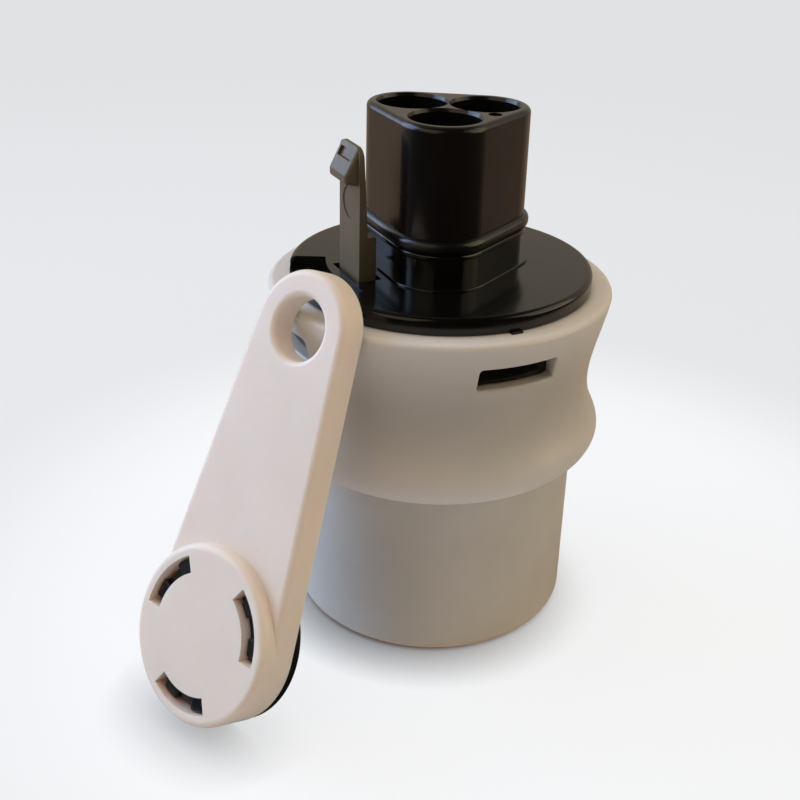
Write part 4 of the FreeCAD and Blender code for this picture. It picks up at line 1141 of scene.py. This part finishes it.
    def far_side(self, tree: Tree, place: Socket) -> Node:
        """Strength of what gloss shows: full on the bright far side, low on the viewer's dark one.

        Args:
            tree: node tree.
            place: position or direction, measured from the object.

        Returns:
            The strength, from the cosine between the level direction and the bright side.
        """
        level = add_node(tree, "VectorMath", {0: place, 1: (1.0, 1.0, 0.0)}, operation="MULTIPLY")
        way = add_node(tree, "VectorMath", {0: level}, operation="NORMALIZE")
        bright = heading(math.radians(self.bright_side), 0.0).tolist()
        cosine = add_node(tree, "VectorMath", {0: way, 1: bright}, operation="DOT_PRODUCT")
        return add_node(tree, "MapRange", self.round_room.of(cosine.outputs["Value"]), **SMOOTH)

    def hang(self, lamp: Lamp) -> None:
        """Hangs one lamp at the lamps' distance from the object.

        Args:
            lamp: the lamp's place, size and light.
        """
        data = bpy.data.lights.new(lamp.name, "AREA")
        data.shape = "SQUARE"
        data.size = lamp.size
        data.energy = lamp.power
        data.color = linear(lamp.colour)[:3]
        thing = bpy.data.objects.new(lamp.name, data)
        out = heading(math.radians(lamp.heading), math.radians(lamp.height))
        thing.matrix_world = looking(np.array(self.target) + self.lamp_distance * out, -out, 0.0)
        thing.visible_glossy = lamp.mirrored
        bpy.context.scene.collection.objects.link(thing)
        LOG.info("lamp %s at %.0f degrees", lamp.name, lamp.heading)

    def camera(self) -> None:
        """Camera at the photograph's viewing angle, with the object's up leaning by the roll."""
        data = bpy.data.cameras.new("camera")
        data.sensor_width = self.sensor
        data.lens = self.focal
        data.shift_x, data.shift_y = self.shift
        data.clip_start = self.nearest
        data.clip_end = self.farthest
        out = heading(math.radians(self.azimuth - 90.0), math.radians(self.elevation))
        thing = bpy.data.objects.new("camera", data)
        eye = np.array(self.target) + self.distance * out
        thing.matrix_world = looking(eye, -out, self.roll)
        bpy.context.scene.collection.objects.link(thing)
        bpy.context.scene.camera = thing

    def build(self) -> None:
        """Sets up the whole studio."""
        bpy.context.scene.view_settings.view_transform = "Standard"
        self.floor()
        self.world()
        for lamp in self.lamps:
            self.hang(lamp)
        self.camera()


def by_ray(tree: Tree, cast: Node, gloss: Node, shown: Node) -> Node:
    """Picks a shader by the ray that meets it.

    Args:
        tree: node tree.
        cast: shader that lights the object.
        gloss: shader that reflections show.
        shown: shader that the camera sees, straight or through a clear surface.

    Returns:
        The picked shader.
    """
    ray = add_node(tree, "LightPath").outputs
    seen = add_node(tree, "Math", {0: ray["Is Camera Ray"], 1: ray["Is Transmission Ray"]},
                    operation="MAXIMUM")
    unseen = add_node(tree, "MixShader", {0: ray["Is Glossy Ray"], 1: cast, 2: gloss})
    return add_node(tree, "MixShader", {0: seen, 1: unseen, 2: shown})


def heading(turn: float, rise: float) -> np.ndarray:
    """Unit direction: cos turn cos rise, sin turn cos rise, sin rise, with angles in radians."""
    level = math.cos(rise)
    return np.array([math.cos(turn) * level, math.sin(turn) * level, math.sin(rise)])


def looking(eye: np.ndarray, ahead: np.ndarray, roll: float) -> Matrix:
    """Placement of a camera or lamp that looks along a direction.

    Args:
        eye: where it stands.
        ahead: unit direction of view.
        roll: degrees that it is turned, anticlockwise as seen from behind it.

    Returns:
        The world matrix, whose X is right, Y is up and -Z is ahead.
    """
    right = np.cross(ahead, [0.0, 0.0, 1.0])
    right /= np.linalg.norm(right)
    up = np.cross(right, ahead)
    turn = math.radians(roll)
    across = right * math.cos(turn) + up * math.sin(turn)
    upward = up * math.cos(turn) - right * math.sin(turn)
    columns = np.stack([across, upward, -ahead, eye], axis=1)
    return Matrix(np.vstack([columns, [0.0, 0.0, 0.0, 1.0]]).tolist())


def main() -> None:
    """Builds every sub-assembly and the studio, and logs what it makes."""
    logging.basicConfig(level=logging.INFO, format="%(message)s")
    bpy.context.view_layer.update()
    shop = PaintShop()
    for kind in (CupAndCollar, Connector, SideLatch, MagnetKey, Electronics):
        kind(shop).build()
    Studio().build()


if __name__ == "__main__":
    main()
